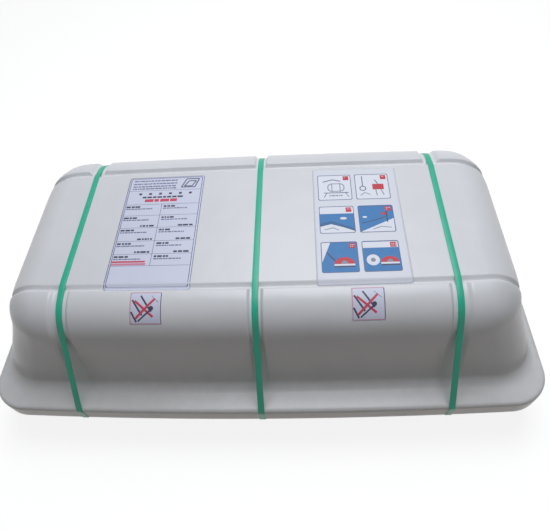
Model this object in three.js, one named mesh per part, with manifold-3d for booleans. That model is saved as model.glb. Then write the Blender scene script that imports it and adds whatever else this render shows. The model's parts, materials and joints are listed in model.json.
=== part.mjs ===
// A packed inflatable life raft: a white glass-fibre container of two moulded trays, held shut by
// three taut green bands, with the folded raft, its gas cylinder and its emergency kit inside.
// Units are millimetres. +Z is up, X runs along the container, and the front faces -Y.
// The origin is on the ground under the middle of the container.
import * as THREE from 'three';
import { mergeVertices } from 'three/addons/utils/BufferGeometryUtils.js';
import Module from 'manifold-3d';

// Driving sizes of the whole container
const GAP = 0.3;
const WALL = 5;
const PANEL_Z = 409;
const CREST = 2;
const CORE_X = 545;
const CORE_Y = 200;
const ROLL = 103;
const DRAFT = THREE.MathUtils.degToRad(10);
const FILLET = 36;
const FLANGE_Z = 162;
const EDGE_X = 724;
const EDGE_Y = 408;
const EDGE_CORNER = 90;
const EDGE_ROUND = 10;
const SKIRT_HEIGHT = 50;

// The long sides bow outwards a little: by SIDE_BOW at the flange's edge half-way along, and by
// nothing at BOW_SPAN from the middle
const SIDE_BOW = 13;
const BOW_SPAN = 600;

// The soft valleys between the flat panel and the two long bolsters
const CREASE_Y = 188;
const CREASE_HALF = 11;
const CREASE_DEPTH = 7;

// The grooves that guide the bands
const GROOVE_X = 470;
const GROOVE_HALF = 20;
const GROOVE_RAMP = 7;
const GROOVE_DEPTH = 8;
const FADE_START = 15;
const FADE_HEIGHT = 50;

// The lower tray
const BASE_CORE_X = 565;
const BASE_CORE_Y = 210;
const BASE_ROLL = 60;
const BASE_DRAFT = THREE.MathUtils.degToRad(6);
const BASE_FILLET = 20;
const SEAL_HEIGHT = 6;
const SEAL_WIDTH = 14;
const SEAL_INSET = 8;
const RIM_CLEARANCE = 3;

// Bands and their crimped clips. The outer bands lie a little off the middle of their grooves.
const BAND_X = 474;
const BAND_WIDTH = 16;
const BAND_THICKNESS = 1;
const BAND_STEP = 6;
const TAIL_START = 0.25;
const TAIL_LENGTH = 70;
const CLIP_LENGTH = 32;
const CLIP_WALL = 0.8;
const CLIP_SLIT = 4;

// Labels: places of their edges on the container
const LABEL_THICKNESS = 0.5;
const DATA_LABEL = { left: -372, right: -157, front: -199, back: 172 };
const PICTURE_LABEL = { left: 146, right: 373, front: -197, back: 177 };
const HANDLING_X = 254;
const HANDLING_WIDTH = 73;
const HANDLING_FROM = 6;
const HANDLING_TO = 47;

// Gland and drain plugs
const GLAND_HOLE = 14;
const GLAND_BORE = 7;
const GLAND_HEAD = 23;
const GLAND_HEAD_HEIGHT = 5;
const GLAND_Z = 100;
const DRAIN_X = 530;
const DRAIN_HOLE = 7;
const DRAIN_HEAD = 11;
const DRAIN_HEAD_HEIGHT = 2;
const DRAIN_RECESS = 0.8;

// The folded raft
const FOLD_GAP = 0.6;
const FLOOR_LAYERS = 3;
const FLOOR_LAYER = 19;
const FLOOR_HALF_Y = 200;
const FLOOR_HALF_X = 555;
const TUBE_LAYERS = 3;
const TUBE_LAYER = 17;
const TUBE_BEYOND_CORE = 30;
const CANOPY_LAYERS = 4;

// The kit between the raft's floor and its tubes
const KIT_HEIGHT = 164;
const CYLINDER_RADIUS = 72;
const CYLINDER_LENGTH = 620;
const CYLINDER_LEFT = -558;
const CYLINDER_Y = -100;
const NECK_RADIUS = 19;
const NECK_LENGTH = 24;
const CRADLE_LENGTH = 70;
const CRADLE_WIDTH = 176;
const CRADLE_INSET = 60;
const VALVE_RADIUS = 27;
const VALVE_LENGTH = 66;
const OUTLET_RADIUS = 9;
const OUTLET_LENGTH = 22;
const HOSE_RADIUS = 7;
const INLET_RADIUS = 16;
const INLET_LENGTH = 30;
const KIT_RIGHT = 560;
const KIT_GAP = 6;
const PACK_LENGTH = 320;
const PACK_WIDTH = 238;
const LINE_BAG_LENGTH = 80;
const BAG_ROUND = 22;
const DROGUE_LENGTH = 170;
const BELLOWS_RADIUS = 72;
const BELLOWS_FOLDS = 5;
const BELLOWS_END = 14;
const PADDLE_LENGTH = 660;
const PADDLE_SHAFT = 13;
const BLADE_LENGTH = 210;
const BLADE_WIDTH = 140;
const BLADE_THICKNESS = 10;
const QUOIT_RADIUS = 60;
const QUOIT_SECTION = 14;
const REPAIR_BAG = { length: 170, width: 130, height: 84 };
const LADDER_RADIUS = 48;
const LADDER_LENGTH = 190;
const KNIFE = { length: 190, width: 26, thickness: 14, handle: 110, blade: 3 };
const BATTERY = { length: 70, width: 56, height: 92 };
const LAMP_RADIUS = 20;
const LAMP_HEIGHT = 26;

// How finely round shapes are cut
const ROLL_STEPS = 6;
const FILLET_STEPS = 3;
const EDGE_STEPS = 2;
const CORNER_STEPS = 5;
const BASE_ROLL_STEPS = 4;
const ROUND = 20;

// Heights that follow from the sizes above
const CREST_Z = PANEL_Z + CREST;
const SKIRT_Z = FLANGE_Z - SKIRT_HEIGHT;
const SEAL_Z = FLANGE_Z - WALL - GAP - SEAL_HEIGHT;
const BASE_FLANGE_Z = SEAL_Z - GAP - WALL;
const RAFT_FLOOR_Z = GROOVE_DEPTH + WALL + GAP;
const RAFT_FLOOR_HEIGHT = stackHeight(FLOOR_LAYERS, FLOOR_LAYER);
const KIT_Z = RAFT_FLOOR_Z + RAFT_FLOOR_HEIGHT + GAP;
const KIT_TOP = KIT_Z + KIT_HEIGHT;
const LOWER_TUBE_Z = KIT_TOP + GAP;
const TUBE_HEIGHT = stackHeight(TUBE_LAYERS, TUBE_LAYER);
const UPPER_TUBE_Z = LOWER_TUBE_Z + TUBE_HEIGHT + GAP;
const CANOPY_Z = UPPER_TUBE_Z + TUBE_HEIGHT + GAP;
const CANOPY_TOP = CREST_Z - Math.max(GROOVE_DEPTH, CREASE_DEPTH + CREST / 2) - WALL - GAP;
const GROOVE_CENTRES = [-GROOVE_X, 0, GROOVE_X];

// Materials
function finish(color, roughness, metalness = 0) {
  return new THREE.MeshStandardMaterial({ color, roughness, metalness });
}
const gelcoat = finish('#e4e5e6', 0.32);
const rubber = finish('#2b2c2e', 0.75);
const bandPlastic = finish('#12a583', 0.38);
const zincSteel = finish('#a9acae', 0.35, 1);
const labelFilm = finish('#dcdde8', 0.4);
const orangeFabric = finish('#e8602a', 0.7);
const blackFabric = finish('#26282c', 0.75);
const greyFabric = finish('#8f9296', 0.8);
const paintedSteel = finish('#8f2a22', 0.4, 0.2);
const brass = finish('#b08d4a', 0.35, 1);
const hoseRubber = finish('#33363a', 0.6);
const foam = finish('#d8d6cf', 0.9);
const orangePlastic = finish('#f0641e', 0.5);
const wood = finish('#b98c58', 0.6);
const lampPlastic = finish('#e9e4d2', 0.3);

const raft = new THREE.Group();

function addPiece(name, geometry, material) {
  const mesh = new THREE.Mesh(geometry, material);
  mesh.name = name;
  raft.add(mesh);
  return mesh;
}

// Solid of a closed mesh for cutting and joining, and back again
const wasm = await Module();
wasm.setup();

function toSolid(geometry) {
  const bare = geometry.clone();
  bare.deleteAttribute('normal');
  bare.deleteAttribute('uv');
  const merged = mergeVertices(bare, 1e-4);
  return new wasm.Manifold(new wasm.Mesh({
    numProp: 3,
    vertProperties: new Float32Array(merged.attributes.position.array),
    triVerts: new Uint32Array(merged.index.array),
  }));
}

function toGeometry(solid) {
  const mesh = solid.getMesh();
  const geometry = new THREE.BufferGeometry();
  geometry.setAttribute('position', new THREE.BufferAttribute(mesh.vertProperties, 3));
  geometry.setIndex(new THREE.BufferAttribute(mesh.triVerts, 1));
  return geometry;
}

// Height of a pile of folded layers with a small gap between each two
function stackHeight(layers, thickness) {
  return layers * thickness + (layers - 1) * FOLD_GAP;
}

// Rises from 0 to 1 over t = 0..1 with level ends
function smoothStep(t) {
  const c = Math.min(1, Math.max(0, t));
  return c * c * (3 - 2 * c);
}

// Depth of the band grooves at x, from 0 outside to 1 on the groove's floor
function grooveShape(x) {
  const offset = Math.min(...GROOVE_CENTRES.map((centre) => Math.abs(x - centre)));
  return 1 - smoothStep((offset - (GROOVE_HALF - GROOVE_RAMP)) / GROOVE_RAMP);
}

// Moves a piece's points by the bow of the long sides
function bow(geometry) {
  const position = geometry.attributes.position;
  for (let i = 0; i < position.count; i++) {
    const reach = 1 - (position.getX(i) / BOW_SPAN) ** 2;
    position.setY(i, position.getY(i) * (1 + (SIDE_BOW / EDGE_Y) * reach));
  }
  return geometry;
}

// Stations of a tray's section, from the panel's border outwards and down: the rolled border, the
// wall with its draft, the concave fillet, the flat flange and the turned-down edge. Each station
// has its distance beyond the core rectangle on the long sides (out) and on the ends (end), its
// plan corner radius, its height and its outward normal (across, up).
function trayStations(tray) {
  const stations = [];
  const rollEnd = Math.PI / 2 - tray.draft;
  const rollZ = tray.topZ - tray.roll;
  for (let i = 0; i <= tray.rollSteps; i++) {
    const angle = (rollEnd * i) / tray.rollSteps;
    const out = tray.roll * Math.sin(angle);
    stations.push({
      out, end: out, corner: out, z: rollZ + tray.roll * Math.cos(angle),
      across: Math.sin(angle), up: Math.cos(angle),
    });
  }
  const last = stations[stations.length - 1];
  const filletZ = tray.flangeZ + tray.fillet;
  const filletTop = filletZ - tray.fillet * Math.sin(tray.draft);
  const filletCentre = last.out + (last.z - filletTop) * Math.tan(tray.draft)
    + tray.fillet * Math.cos(tray.draft);
  for (let i = 0; i <= FILLET_STEPS; i++) {
    const angle = rollEnd * (1 - i / FILLET_STEPS);
    const across = Math.sin(angle);
    const up = Math.cos(angle);
    const out = filletCentre - tray.fillet * across;
    stations.push({ out, end: out, corner: out, z: filletZ - tray.fillet * up, across, up });
  }
  const edgeOut = tray.edgeY - tray.coreY;
  const edgeEnd = tray.edgeX - tray.coreX;
  for (let i = 0; i <= (tray.edgeRound > 0 ? EDGE_STEPS : 0); i++) {
    const angle = (Math.PI / 2) * (i / EDGE_STEPS);
    const back = tray.edgeRound * (1 - Math.sin(angle));
    stations.push({
      out: edgeOut - back, end: edgeEnd - back, corner: tray.edgeCorner - back,
      z: tray.flangeZ - tray.edgeRound * (1 - Math.cos(angle)),
      across: Math.sin(angle), up: Math.cos(angle),
    });
  }
  if (tray.skirtZ < tray.flangeZ) {
    stations.push({
      out: edgeOut, end: edgeEnd, corner: tray.edgeCorner, z: tray.skirtZ, across: 1, up: 0,
    });
  }
  return stations;
}

// How far the surface lies below the plain tray at a point: the band grooves, the creases, and
// the panel between the creases, which lies a little lower than the bolsters
function trayRelief(tray, x, y, z, onSide) {
  const fade = smoothStep((z - (tray.flangeZ + FADE_START)) / FADE_HEIGHT);
  const beyond = tray.creased
    ? smoothStep((Math.abs(y) - CREASE_Y + 0.8 * CREASE_HALF) / CREASE_HALF) : 1;
  const groove = onSide ? GROOVE_DEPTH * grooveShape(x) * beyond : 0;
  if (!tray.creased) {
    return groove * fade;
  }
  const crease = 1 - smoothStep(Math.abs(Math.abs(y) - CREASE_Y) / CREASE_HALF);
  const panel = 1 - smoothStep((Math.abs(y) - CREASE_Y + CREASE_HALF) / (2 * CREASE_HALF));
  return (Math.max(groove, CREASE_DEPTH * crease) + CREST * panel) * fade;
}

// Columns along the long sides: at the grooves' edges, at the labels' edges and half-way between
// those, because the sides are bowed. Rows across lie at the creases.
function trayColumns(tray) {
  const offsets = [-GROOVE_HALF, GROOVE_RAMP - GROOVE_HALF, GROOVE_HALF - GROOVE_RAMP, GROOVE_HALF];
  const grooves = GROOVE_CENTRES.flatMap((centre) => offsets.map((offset) => centre + offset));
  const labels = [DATA_LABEL, PICTURE_LABEL].flatMap(labelColumns);
  return [-tray.coreX, ...grooves, ...labels, tray.coreX].sort((a, b) => a - b);
}

function labelColumns({ left, right }) {
  return [left, (left + right) / 2, right];
}

function trayRows(tray) {
  if (!tray.creased) {
    return [-tray.coreY, tray.coreY];
  }
  const half = [CREASE_Y - CREASE_HALF, CREASE_Y, CREASE_Y + CREASE_HALF, tray.coreY];
  return [...half.map((y) => -y).reverse(), ...half];
}

// One ring of points round the tray at a station: the four sides and the four corner arcs
function trayRing(tray, station) {
  const columns = trayColumns(tray);
  const rows = trayRows(tray);
  const a = tray.coreX + station.end;
  const b = tray.coreY + station.out;
  const flatX = a - station.corner;
  const flatY = b - station.corner;
  const alongX = columns.map((x) => (Math.abs(x) === tray.coreX ? Math.sign(x) * flatX : x));
  const alongY = rows.map((y) => (Math.abs(y) === tray.coreY ? Math.sign(y) * flatY : y));
  const points = [];
  const corner = (cx, cy, from) => {
    for (let i = 1; i < CORNER_STEPS; i++) {
      const angle = from + ((Math.PI / 2) * i) / CORNER_STEPS;
      const ux = Math.cos(angle);
      const uy = Math.sin(angle);
      points.push({
        x: cx + station.corner * ux, y: cy + station.corner * uy, ux, uy, onSide: false,
      });
    }
  };
  alongX.forEach((x) => points.push({ x, y: -b, ux: 0, uy: -1, onSide: true }));
  corner(flatX, -flatY, -Math.PI / 2);
  alongY.forEach((y) => points.push({ x: a, y, ux: 1, uy: 0, onSide: false }));
  corner(flatX, flatY, 0);
  [...alongX].reverse().forEach((x) => points.push({ x, y: b, ux: 0, uy: 1, onSide: true }));
  corner(-flatX, flatY, Math.PI / 2);
  [...alongY].reverse().forEach((y) => points.push({ x: -a, y, ux: -1, uy: 0, onSide: false }));
  corner(-flatX, -flatY, Math.PI);
  return points;
}

// The tray as one closed wall: outer and inner surface, joined along the rim
function trayGeometry(tray) {
  const stations = trayStations(tray);
  const columns = trayColumns(tray);
  const rows = trayRows(tray);
  const position = [];
  const index = [];
  const quad = (a, b, c, d, flip) => {
    const order = flip ? [a, c, b, a, d, c] : [a, b, c, a, c, d];
    index.push(...order);
  };
  const ringStart = [];
  for (const depth of [0, WALL]) {
    ringStart.push(position.length / 3);
    for (const station of stations) {
      for (const p of trayRing(tray, station)) {
        const sink = trayRelief(tray, p.x, p.y, station.z, p.onSide) + depth;
        position.push(
          p.x - sink * p.ux * station.across,
          p.y - sink * p.uy * station.across,
          station.z - sink * station.up,
        );
      }
    }
    const patchStart = position.length / 3;
    for (const y of rows) {
      for (const x of columns) {
        const sink = trayRelief(tray, x, y, tray.topZ, Math.abs(x) < tray.coreX) + depth;
        position.push(x, y, tray.topZ - sink);
      }
    }
    const flip = depth > 0;
    const width = columns.length;
    for (let j = 0; j + 1 < rows.length; j++) {
      for (let i = 0; i + 1 < width; i++) {
        const p = patchStart + j * width + i;
        quad(p, p + 1, p + 1 + width, p + width, flip);
      }
    }
    const around = trayRing(tray, stations[0]).length;
    for (let k = 0; k + 1 < stations.length; k++) {
      for (let i = 0; i < around; i++) {
        const p = ringStart[ringStart.length - 1] + k * around;
        const next = (i + 1) % around;
        quad(p + i, p + around + i, p + around + next, p + next, flip);
      }
    }
  }
  const around = trayRing(tray, stations[0]).length;
  const rimOuter = ringStart[0] + (stations.length - 1) * around;
  const rimInner = ringStart[1] + (stations.length - 1) * around;
  for (let i = 0; i < around; i++) {
    const next = (i + 1) % around;
    quad(rimOuter + i, rimInner + i, rimInner + next, rimOuter + next, false);
  }
  return closedGeometry(position, index);
}

// Welds equal points and drops the empty triangles that are left where an arc shrinks to a point
function closedGeometry(position, index) {
  const loose = new THREE.BufferGeometry();
  loose.setAttribute('position', new THREE.Float32BufferAttribute(position, 3));
  loose.setIndex(index);
  const welded = mergeVertices(loose, 1e-3);
  const kept = [];
  const order = welded.index.array;
  for (let i = 0; i < order.length; i += 3) {
    const [a, b, c] = [order[i], order[i + 1], order[i + 2]];
    if (a !== b && b !== c && a !== c) {
      kept.push(a, b, c);
    }
  }
  welded.setIndex(kept);
  return welded;
}

// Stands a drawing of the cross-section (Y across, Z up) in place and carries it along X
function crossSection(outline, fromX, toX, steps = 1) {
  const shape = new THREE.Shape(outline.map(([y, z]) => new THREE.Vector2(y, z)));
  const geometry = new THREE.ExtrudeGeometry(shape, {
    depth: toX - fromX, bevelEnabled: false, steps,
  });
  const turn = new THREE.Matrix4().makeBasis(
    new THREE.Vector3(0, 1, 0), new THREE.Vector3(0, 0, 1), new THREE.Vector3(1, 0, 0),
  );
  return geometry.applyMatrix4(turn).translate(fromX, 0, 0);
}

const upperTray = {
  coreX: CORE_X, coreY: CORE_Y, topZ: CREST_Z, roll: ROLL, draft: DRAFT, fillet: FILLET,
  flangeZ: FLANGE_Z, edgeX: EDGE_X, edgeY: EDGE_Y, edgeCorner: EDGE_CORNER,
  edgeRound: EDGE_ROUND, skirtZ: SKIRT_Z, rollSteps: ROLL_STEPS, creased: true,
};

// The lower tray is drawn bottom up, with its base at height 0 and its flange below that
const rimInset = WALL + RIM_CLEARANCE;
const lowerTray = {
  coreX: BASE_CORE_X, coreY: BASE_CORE_Y, topZ: 0, roll: BASE_ROLL, draft: BASE_DRAFT,
  fillet: BASE_FILLET, flangeZ: -BASE_FLANGE_Z, edgeX: EDGE_X - rimInset,
  edgeY: EDGE_Y - rimInset, edgeCorner: EDGE_CORNER - rimInset, edgeRound: 0,
  skirtZ: -BASE_FLANGE_Z, rollSteps: BASE_ROLL_STEPS, creased: false,
};

// Place of the gland on the lower tray's end wall: the wall's distance from the middle grows with
// height by its draft
function baseWallX(z) {
  const rollOut = BASE_ROLL * Math.cos(BASE_DRAFT);
  const rollZ = BASE_ROLL * (1 - Math.sin(BASE_DRAFT));
  return BASE_CORE_X + rollOut + (z - rollZ) * Math.tan(BASE_DRAFT);
}

function makeShells() {
  addPiece('upper_shell', bow(trayGeometry(upperTray)), gelcoat);
  let lower = toSolid(trayGeometry(lowerTray));
  const glandHole = new THREE.CylinderGeometry(GLAND_HOLE, GLAND_HOLE, 8 * WALL, ROUND);
  glandHole.rotateX(Math.PI / 2);
  glandHole.rotateY(BASE_DRAFT - Math.PI / 2);
  glandHole.translate(-baseWallX(GLAND_Z), 0, -GLAND_Z);
  lower = lower.subtract(toSolid(glandHole));
  for (const side of [-1, 1]) {
    const drain = new THREE.CylinderGeometry(DRAIN_HOLE, DRAIN_HOLE, 8 * WALL, ROUND);
    drain.rotateX(Math.PI / 2);
    drain.translate(side * DRAIN_X, 0, 0);
    lower = lower.subtract(toSolid(drain));
  }
  const shell = addPiece('lower_shell', bow(toGeometry(lower)), gelcoat);
  shell.rotation.x = Math.PI;
}

// A rounded rectangle's outline, counter-clockwise, with extra points at columns on its long sides
function roundedOutline(halfX, halfY, radius, columns = []) {
  const shape = new THREE.Shape();
  const quarter = Math.PI / 2;
  shape.absarc(halfX - radius, halfY - radius, radius, 0, quarter, false);
  [...columns].reverse().forEach((x) => shape.lineTo(x, halfY));
  shape.absarc(radius - halfX, halfY - radius, radius, quarter, 2 * quarter, false);
  shape.absarc(radius - halfX, radius - halfY, radius, 2 * quarter, 3 * quarter, false);
  columns.forEach((x) => shape.lineTo(x, -halfY));
  shape.absarc(halfX - radius, radius - halfY, radius, 3 * quarter, 4 * quarter, false);
  return shape;
}

// The rubber strip between the two flanges
function makeSeal() {
  const inset = WALL + SEAL_INSET;
  const corner = EDGE_CORNER - inset;
  const inner = inset + SEAL_WIDTH;
  const columns = trayColumns(upperTray).slice(1, -1);
  const ring = roundedOutline(EDGE_X - inset, EDGE_Y - inset, corner, columns);
  ring.holes.push(roundedOutline(EDGE_X - inner, EDGE_Y - inner, corner - SEAL_WIDTH, columns));
  const geometry = new THREE.ExtrudeGeometry(ring, {
    depth: SEAL_HEIGHT, bevelEnabled: false, steps: 1, curveSegments: CORNER_STEPS,
  });
  addPiece('flange_seal', bow(geometry), rubber).position.z = SEAL_Z;
}

// What a taut band touches in the cross-section: the panel's edges, the grooved bolsters, the
// flange's rounded edges, the skirt's lower edges and the grooved lower corners, as discs
function bandSupports() {
  const one = [
    { y: CREASE_Y - CREASE_HALF, z: PANEL_Z, r: 0 },
    { y: CORE_Y, z: CREST_Z - ROLL, r: ROLL - GROOVE_DEPTH },
    { y: EDGE_Y - EDGE_ROUND, z: FLANGE_Z - EDGE_ROUND, r: EDGE_ROUND },
    { y: EDGE_Y, z: SKIRT_Z, r: 0 },
    { y: BASE_CORE_Y, z: BASE_ROLL, r: BASE_ROLL - GROOVE_DEPTH },
  ];
  return [...one, ...one.map((s) => ({ ...s, y: -s.y }))];
}

// The band's turning points, counter-clockwise from the rear flange edge: in each direction the
// taut line touches the disc that reaches furthest that way. A sharp edge keeps two directions.
function bandContacts() {
  const supports = bandSupports();
  const contacts = [];
  for (let turn = 0; turn < 360; turn += BAND_STEP) {
    const angle = THREE.MathUtils.degToRad(turn + BAND_STEP / 2);
    const u = [Math.cos(angle), Math.sin(angle)];
    const reach = supports.map((s) => s.y * u[0] + s.z * u[1] + s.r);
    const support = supports[reach.indexOf(Math.max(...reach))];
    contacts.push({ support, u });
  }
  return contacts.filter((c, i) => {
    const before = contacts[(i + contacts.length - 1) % contacts.length].support;
    const after = contacts[(i + 1) % contacts.length].support;
    return c.support.r > 0 || before !== c.support || after !== c.support;
  });
}

function contactPoint({ support, u }, offset) {
  const reach = support.r + offset;
  return [support.y + reach * u[0], support.z + reach * u[1]];
}

// The straight stretch behind the container, from the flange's edge up to the rear bolster
function rearSpan() {
  const contacts = bandContacts();
  const first = contacts.findIndex((c) => c.support.y === CORE_Y);
  const low = contactPoint(contacts[first - 1], 0);
  const high = contactPoint(contacts[first], 0);
  const length = Math.hypot(high[0] - low[0], high[1] - low[1]);
  const along = [(high[0] - low[0]) / length, (high[1] - low[1]) / length];
  const normal = [along[1], -along[0]];
  const at = (distance, offset) => [
    low[0] + along[0] * distance + normal[0] * offset,
    low[1] + along[1] * distance + normal[1] * offset,
  ];
  const start = TAIL_START * length;
  return { loop: [...contacts.slice(first), ...contacts.slice(0, first)], at, start, normal };
}

// One band: it starts on the rear span, goes once round the container and ends lying over its
// own start, where the clip holds both layers
function makeBand(name, clipName, x) {
  const span = rearSpan();
  const side = (offset) => [
    span.at(span.start, offset),
    ...span.loop.map((contact) => contactPoint(contact, offset)),
    span.at(span.start, offset + BAND_THICKNESS + GAP),
    span.at(span.start + TAIL_LENGTH, offset + BAND_THICKNESS + GAP),
  ];
  const outline = [...side(GAP), ...side(GAP + BAND_THICKNESS).reverse()];
  const left = x - BAND_WIDTH / 2;
  addPiece(name, bow(crossSection(outline, left, left + BAND_WIDTH)), bandPlastic);

  const w = BAND_WIDTH / 2 + GAP;
  const h = 2 * BAND_THICKNESS + 3 * GAP;
  const c = CLIP_WALL;
  const slit = CLIP_SLIT / 2;
  const points = [
    [slit, -c], [w + c, -c], [w + c, h + c], [-w - c, h + c], [-w - c, -c], [-slit, -c],
    [-slit, 0], [-w, 0], [-w, h], [w, h], [w, 0], [slit, 0],
  ];
  const shape = new THREE.Shape(points.map(([px, py]) => new THREE.Vector2(px, py)));
  const geometry = new THREE.ExtrudeGeometry(shape, {
    depth: CLIP_LENGTH, bevelEnabled: false, steps: 1,
  });
  geometry.translate(0, 0, -CLIP_LENGTH / 2);
  const [y, z] = span.at(span.start + TAIL_LENGTH / 2, 0);
  geometry.rotateX(Math.atan2(span.normal[1], span.normal[0])).translate(x, y, z);
  addPiece(clipName, bow(geometry), zincSteel);
}

// Height of the top surface at y, as straight facets between the rows of the upper shell
function topFacetZ(y) {
  const rows = trayRows(upperTray);
  const heights = rows.map((row) => CREST_Z - trayRelief(upperTray, CORE_X, row, CREST_Z, false));
  const i = Math.min(rows.length - 2, Math.max(0, rows.findIndex((row) => row > y) - 1));
  const t = (y - rows[i]) / (rows[i + 1] - rows[i]);
  return heights[i] + t * (heights[i + 1] - heights[i]);
}

// A label lying on the top: it follows the surface through the creases
function makeTopLabel(name, place) {
  const rows = trayRows(upperTray).filter((y) => y > place.front && y < place.back);
  const path = [place.front, ...rows, place.back];
  const side = (offset) => path.map((y) => [y, topFacetZ(y) + offset]);
  const outline = [...side(GAP), ...side(GAP + LABEL_THICKNESS).reverse()];
  addPiece(name, bow(crossSection(outline, place.left, place.right, 2)), labelFilm);
}

// A square label on the front bolster, bent round its roll
function makeHandlingLabel(name, x) {
  const rollEnd = 90 - THREE.MathUtils.radToDeg(DRAFT);
  const facets = Array.from({ length: ROLL_STEPS }, (_, i) => (rollEnd * (i + 1)) / ROLL_STEPS);
  const inside = facets.filter((angle) => angle > HANDLING_FROM && angle < HANDLING_TO);
  const angles = [HANDLING_FROM, ...inside, HANDLING_TO].map(THREE.MathUtils.degToRad);
  const side = (offset) => angles.map((angle) => [
    -CORE_Y - (ROLL + offset) * Math.sin(angle),
    CREST_Z - ROLL + (ROLL + offset) * Math.cos(angle),
  ]);
  const outline = [...side(GAP), ...side(GAP + LABEL_THICKNESS).reverse()];
  const left = x - HANDLING_WIDTH / 2;
  addPiece(name, bow(crossSection(outline, left, left + HANDLING_WIDTH)), labelFilm);
}

function lathe(profile, steps = ROUND) {
  return new THREE.LatheGeometry(profile.map(([r, h]) => new THREE.Vector2(r, h)), steps);
}

// The rubber gland in the lower shell's end wall, where the painter line would come out
function makeGland() {
  const neck = GLAND_HOLE - GAP;
  const outside = GAP;
  const inside = -WALL - GAP;
  const profile = [
    [GLAND_BORE, inside - GLAND_HEAD_HEIGHT], [GLAND_HEAD - 4, inside - GLAND_HEAD_HEIGHT],
    [GLAND_HEAD - 4, inside], [neck, inside], [neck, outside], [GLAND_HEAD, outside],
    [GLAND_HEAD - 2, outside + GLAND_HEAD_HEIGHT], [GLAND_BORE, outside + GLAND_HEAD_HEIGHT],
    [GLAND_BORE, inside - GLAND_HEAD_HEIGHT],
  ];
  const gland = addPiece('painter_gland', lathe(profile), rubber);
  gland.position.set(-baseWallX(GLAND_Z), 0, GLAND_Z);
  gland.quaternion.setFromUnitVectors(
    new THREE.Vector3(0, 1, 0),
    new THREE.Vector3(-Math.cos(BASE_DRAFT), 0, -Math.sin(BASE_DRAFT)),
  );
}

function makeDrainPlug(name, x) {
  const stem = DRAIN_HOLE - GAP;
  const seat = WALL + GAP;
  const profile = [
    [0, DRAIN_RECESS], [stem, DRAIN_RECESS], [stem, seat], [DRAIN_HEAD, seat],
    [DRAIN_HEAD, seat + DRAIN_HEAD_HEIGHT], [0, seat + DRAIN_HEAD_HEIGHT],
  ];
  const plug = addPiece(name, lathe(profile), rubber);
  plug.rotation.x = Math.PI / 2;
  plug.position.set(x, 0, 0);
}

// Outline of fabric folded to and fro in a pile: layers across Y, joined by half-round folds
function foldedOutline(halfWidth, layers, thickness, z) {
  const pitch = thickness + FOLD_GAP;
  const flat = halfWidth - thickness - FOLD_GAP / 2;
  const arcSteps = 5;
  const inner = [];
  const outer = [];
  const add = (y, h, ny, nz) => {
    inner.push([y - ny * (thickness / 2), h - nz * (thickness / 2)]);
    outer.push([y + ny * (thickness / 2), h + nz * (thickness / 2)]);
  };
  for (let i = 0; i < layers; i++) {
    const direction = i % 2 === 0 ? 1 : -1;
    const h = z + thickness / 2 + i * pitch;
    add(-direction * flat, h, 0, -direction);
    add(direction * flat, h, 0, -direction);
    for (let k = 1; i + 1 < layers && k < arcSteps; k++) {
      const angle = -Math.PI / 2 + (Math.PI * k) / arcSteps;
      const ny = direction * Math.cos(angle);
      const nz = Math.sin(angle);
      add(direction * flat + (pitch / 2) * ny, h + pitch / 2 + (pitch / 2) * nz,
        ny * direction, nz * direction);
    }
  }
  return [...inner, ...outer.reverse()];
}

function makeFold(name, halfX, halfY, layers, thickness, z) {
  const outline = foldedOutline(halfY, layers, thickness, z);
  return addPiece(name, crossSection(outline, -halfX, halfX), orangeFabric);
}

function makeRaft() {
  makeFold('raft_floor', FLOOR_HALF_X, FLOOR_HALF_Y, FLOOR_LAYERS, FLOOR_LAYER, RAFT_FLOOR_Z);
  const tubeX = CORE_X + TUBE_BEYOND_CORE;
  const tubeY = CORE_Y + TUBE_BEYOND_CORE;
  const lower = makeFold('lower_buoyancy_tube', tubeX, tubeY, TUBE_LAYERS, TUBE_LAYER, LOWER_TUBE_Z);
  const upper = makeFold('upper_buoyancy_tube', tubeX, tubeY, TUBE_LAYERS, TUBE_LAYER, UPPER_TUBE_Z);
  lower.material = blackFabric;
  upper.material = blackFabric;
  const room = CANOPY_TOP - CANOPY_Z;
  const layer = (room - (CANOPY_LAYERS - 1) * FOLD_GAP) / CANOPY_LAYERS;
  makeFold('canopy', CORE_X, CORE_Y, CANOPY_LAYERS, layer, CANOPY_Z);
}

// A stuffed bag: a box with rounded upright edges and softened top and bottom
function bagGeometry(length, width, height, round) {
  const soft = round / 2;
  const shape = roundedOutline(length / 2 - soft, width / 2 - soft, round - soft + 1);
  const geometry = new THREE.ExtrudeGeometry(shape, {
    depth: height - 2 * soft, bevelEnabled: true, bevelThickness: soft, bevelSize: soft,
    bevelSegments: 2, steps: 1, curveSegments: 3,
  });
  return geometry.translate(0, 0, soft);
}

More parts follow.
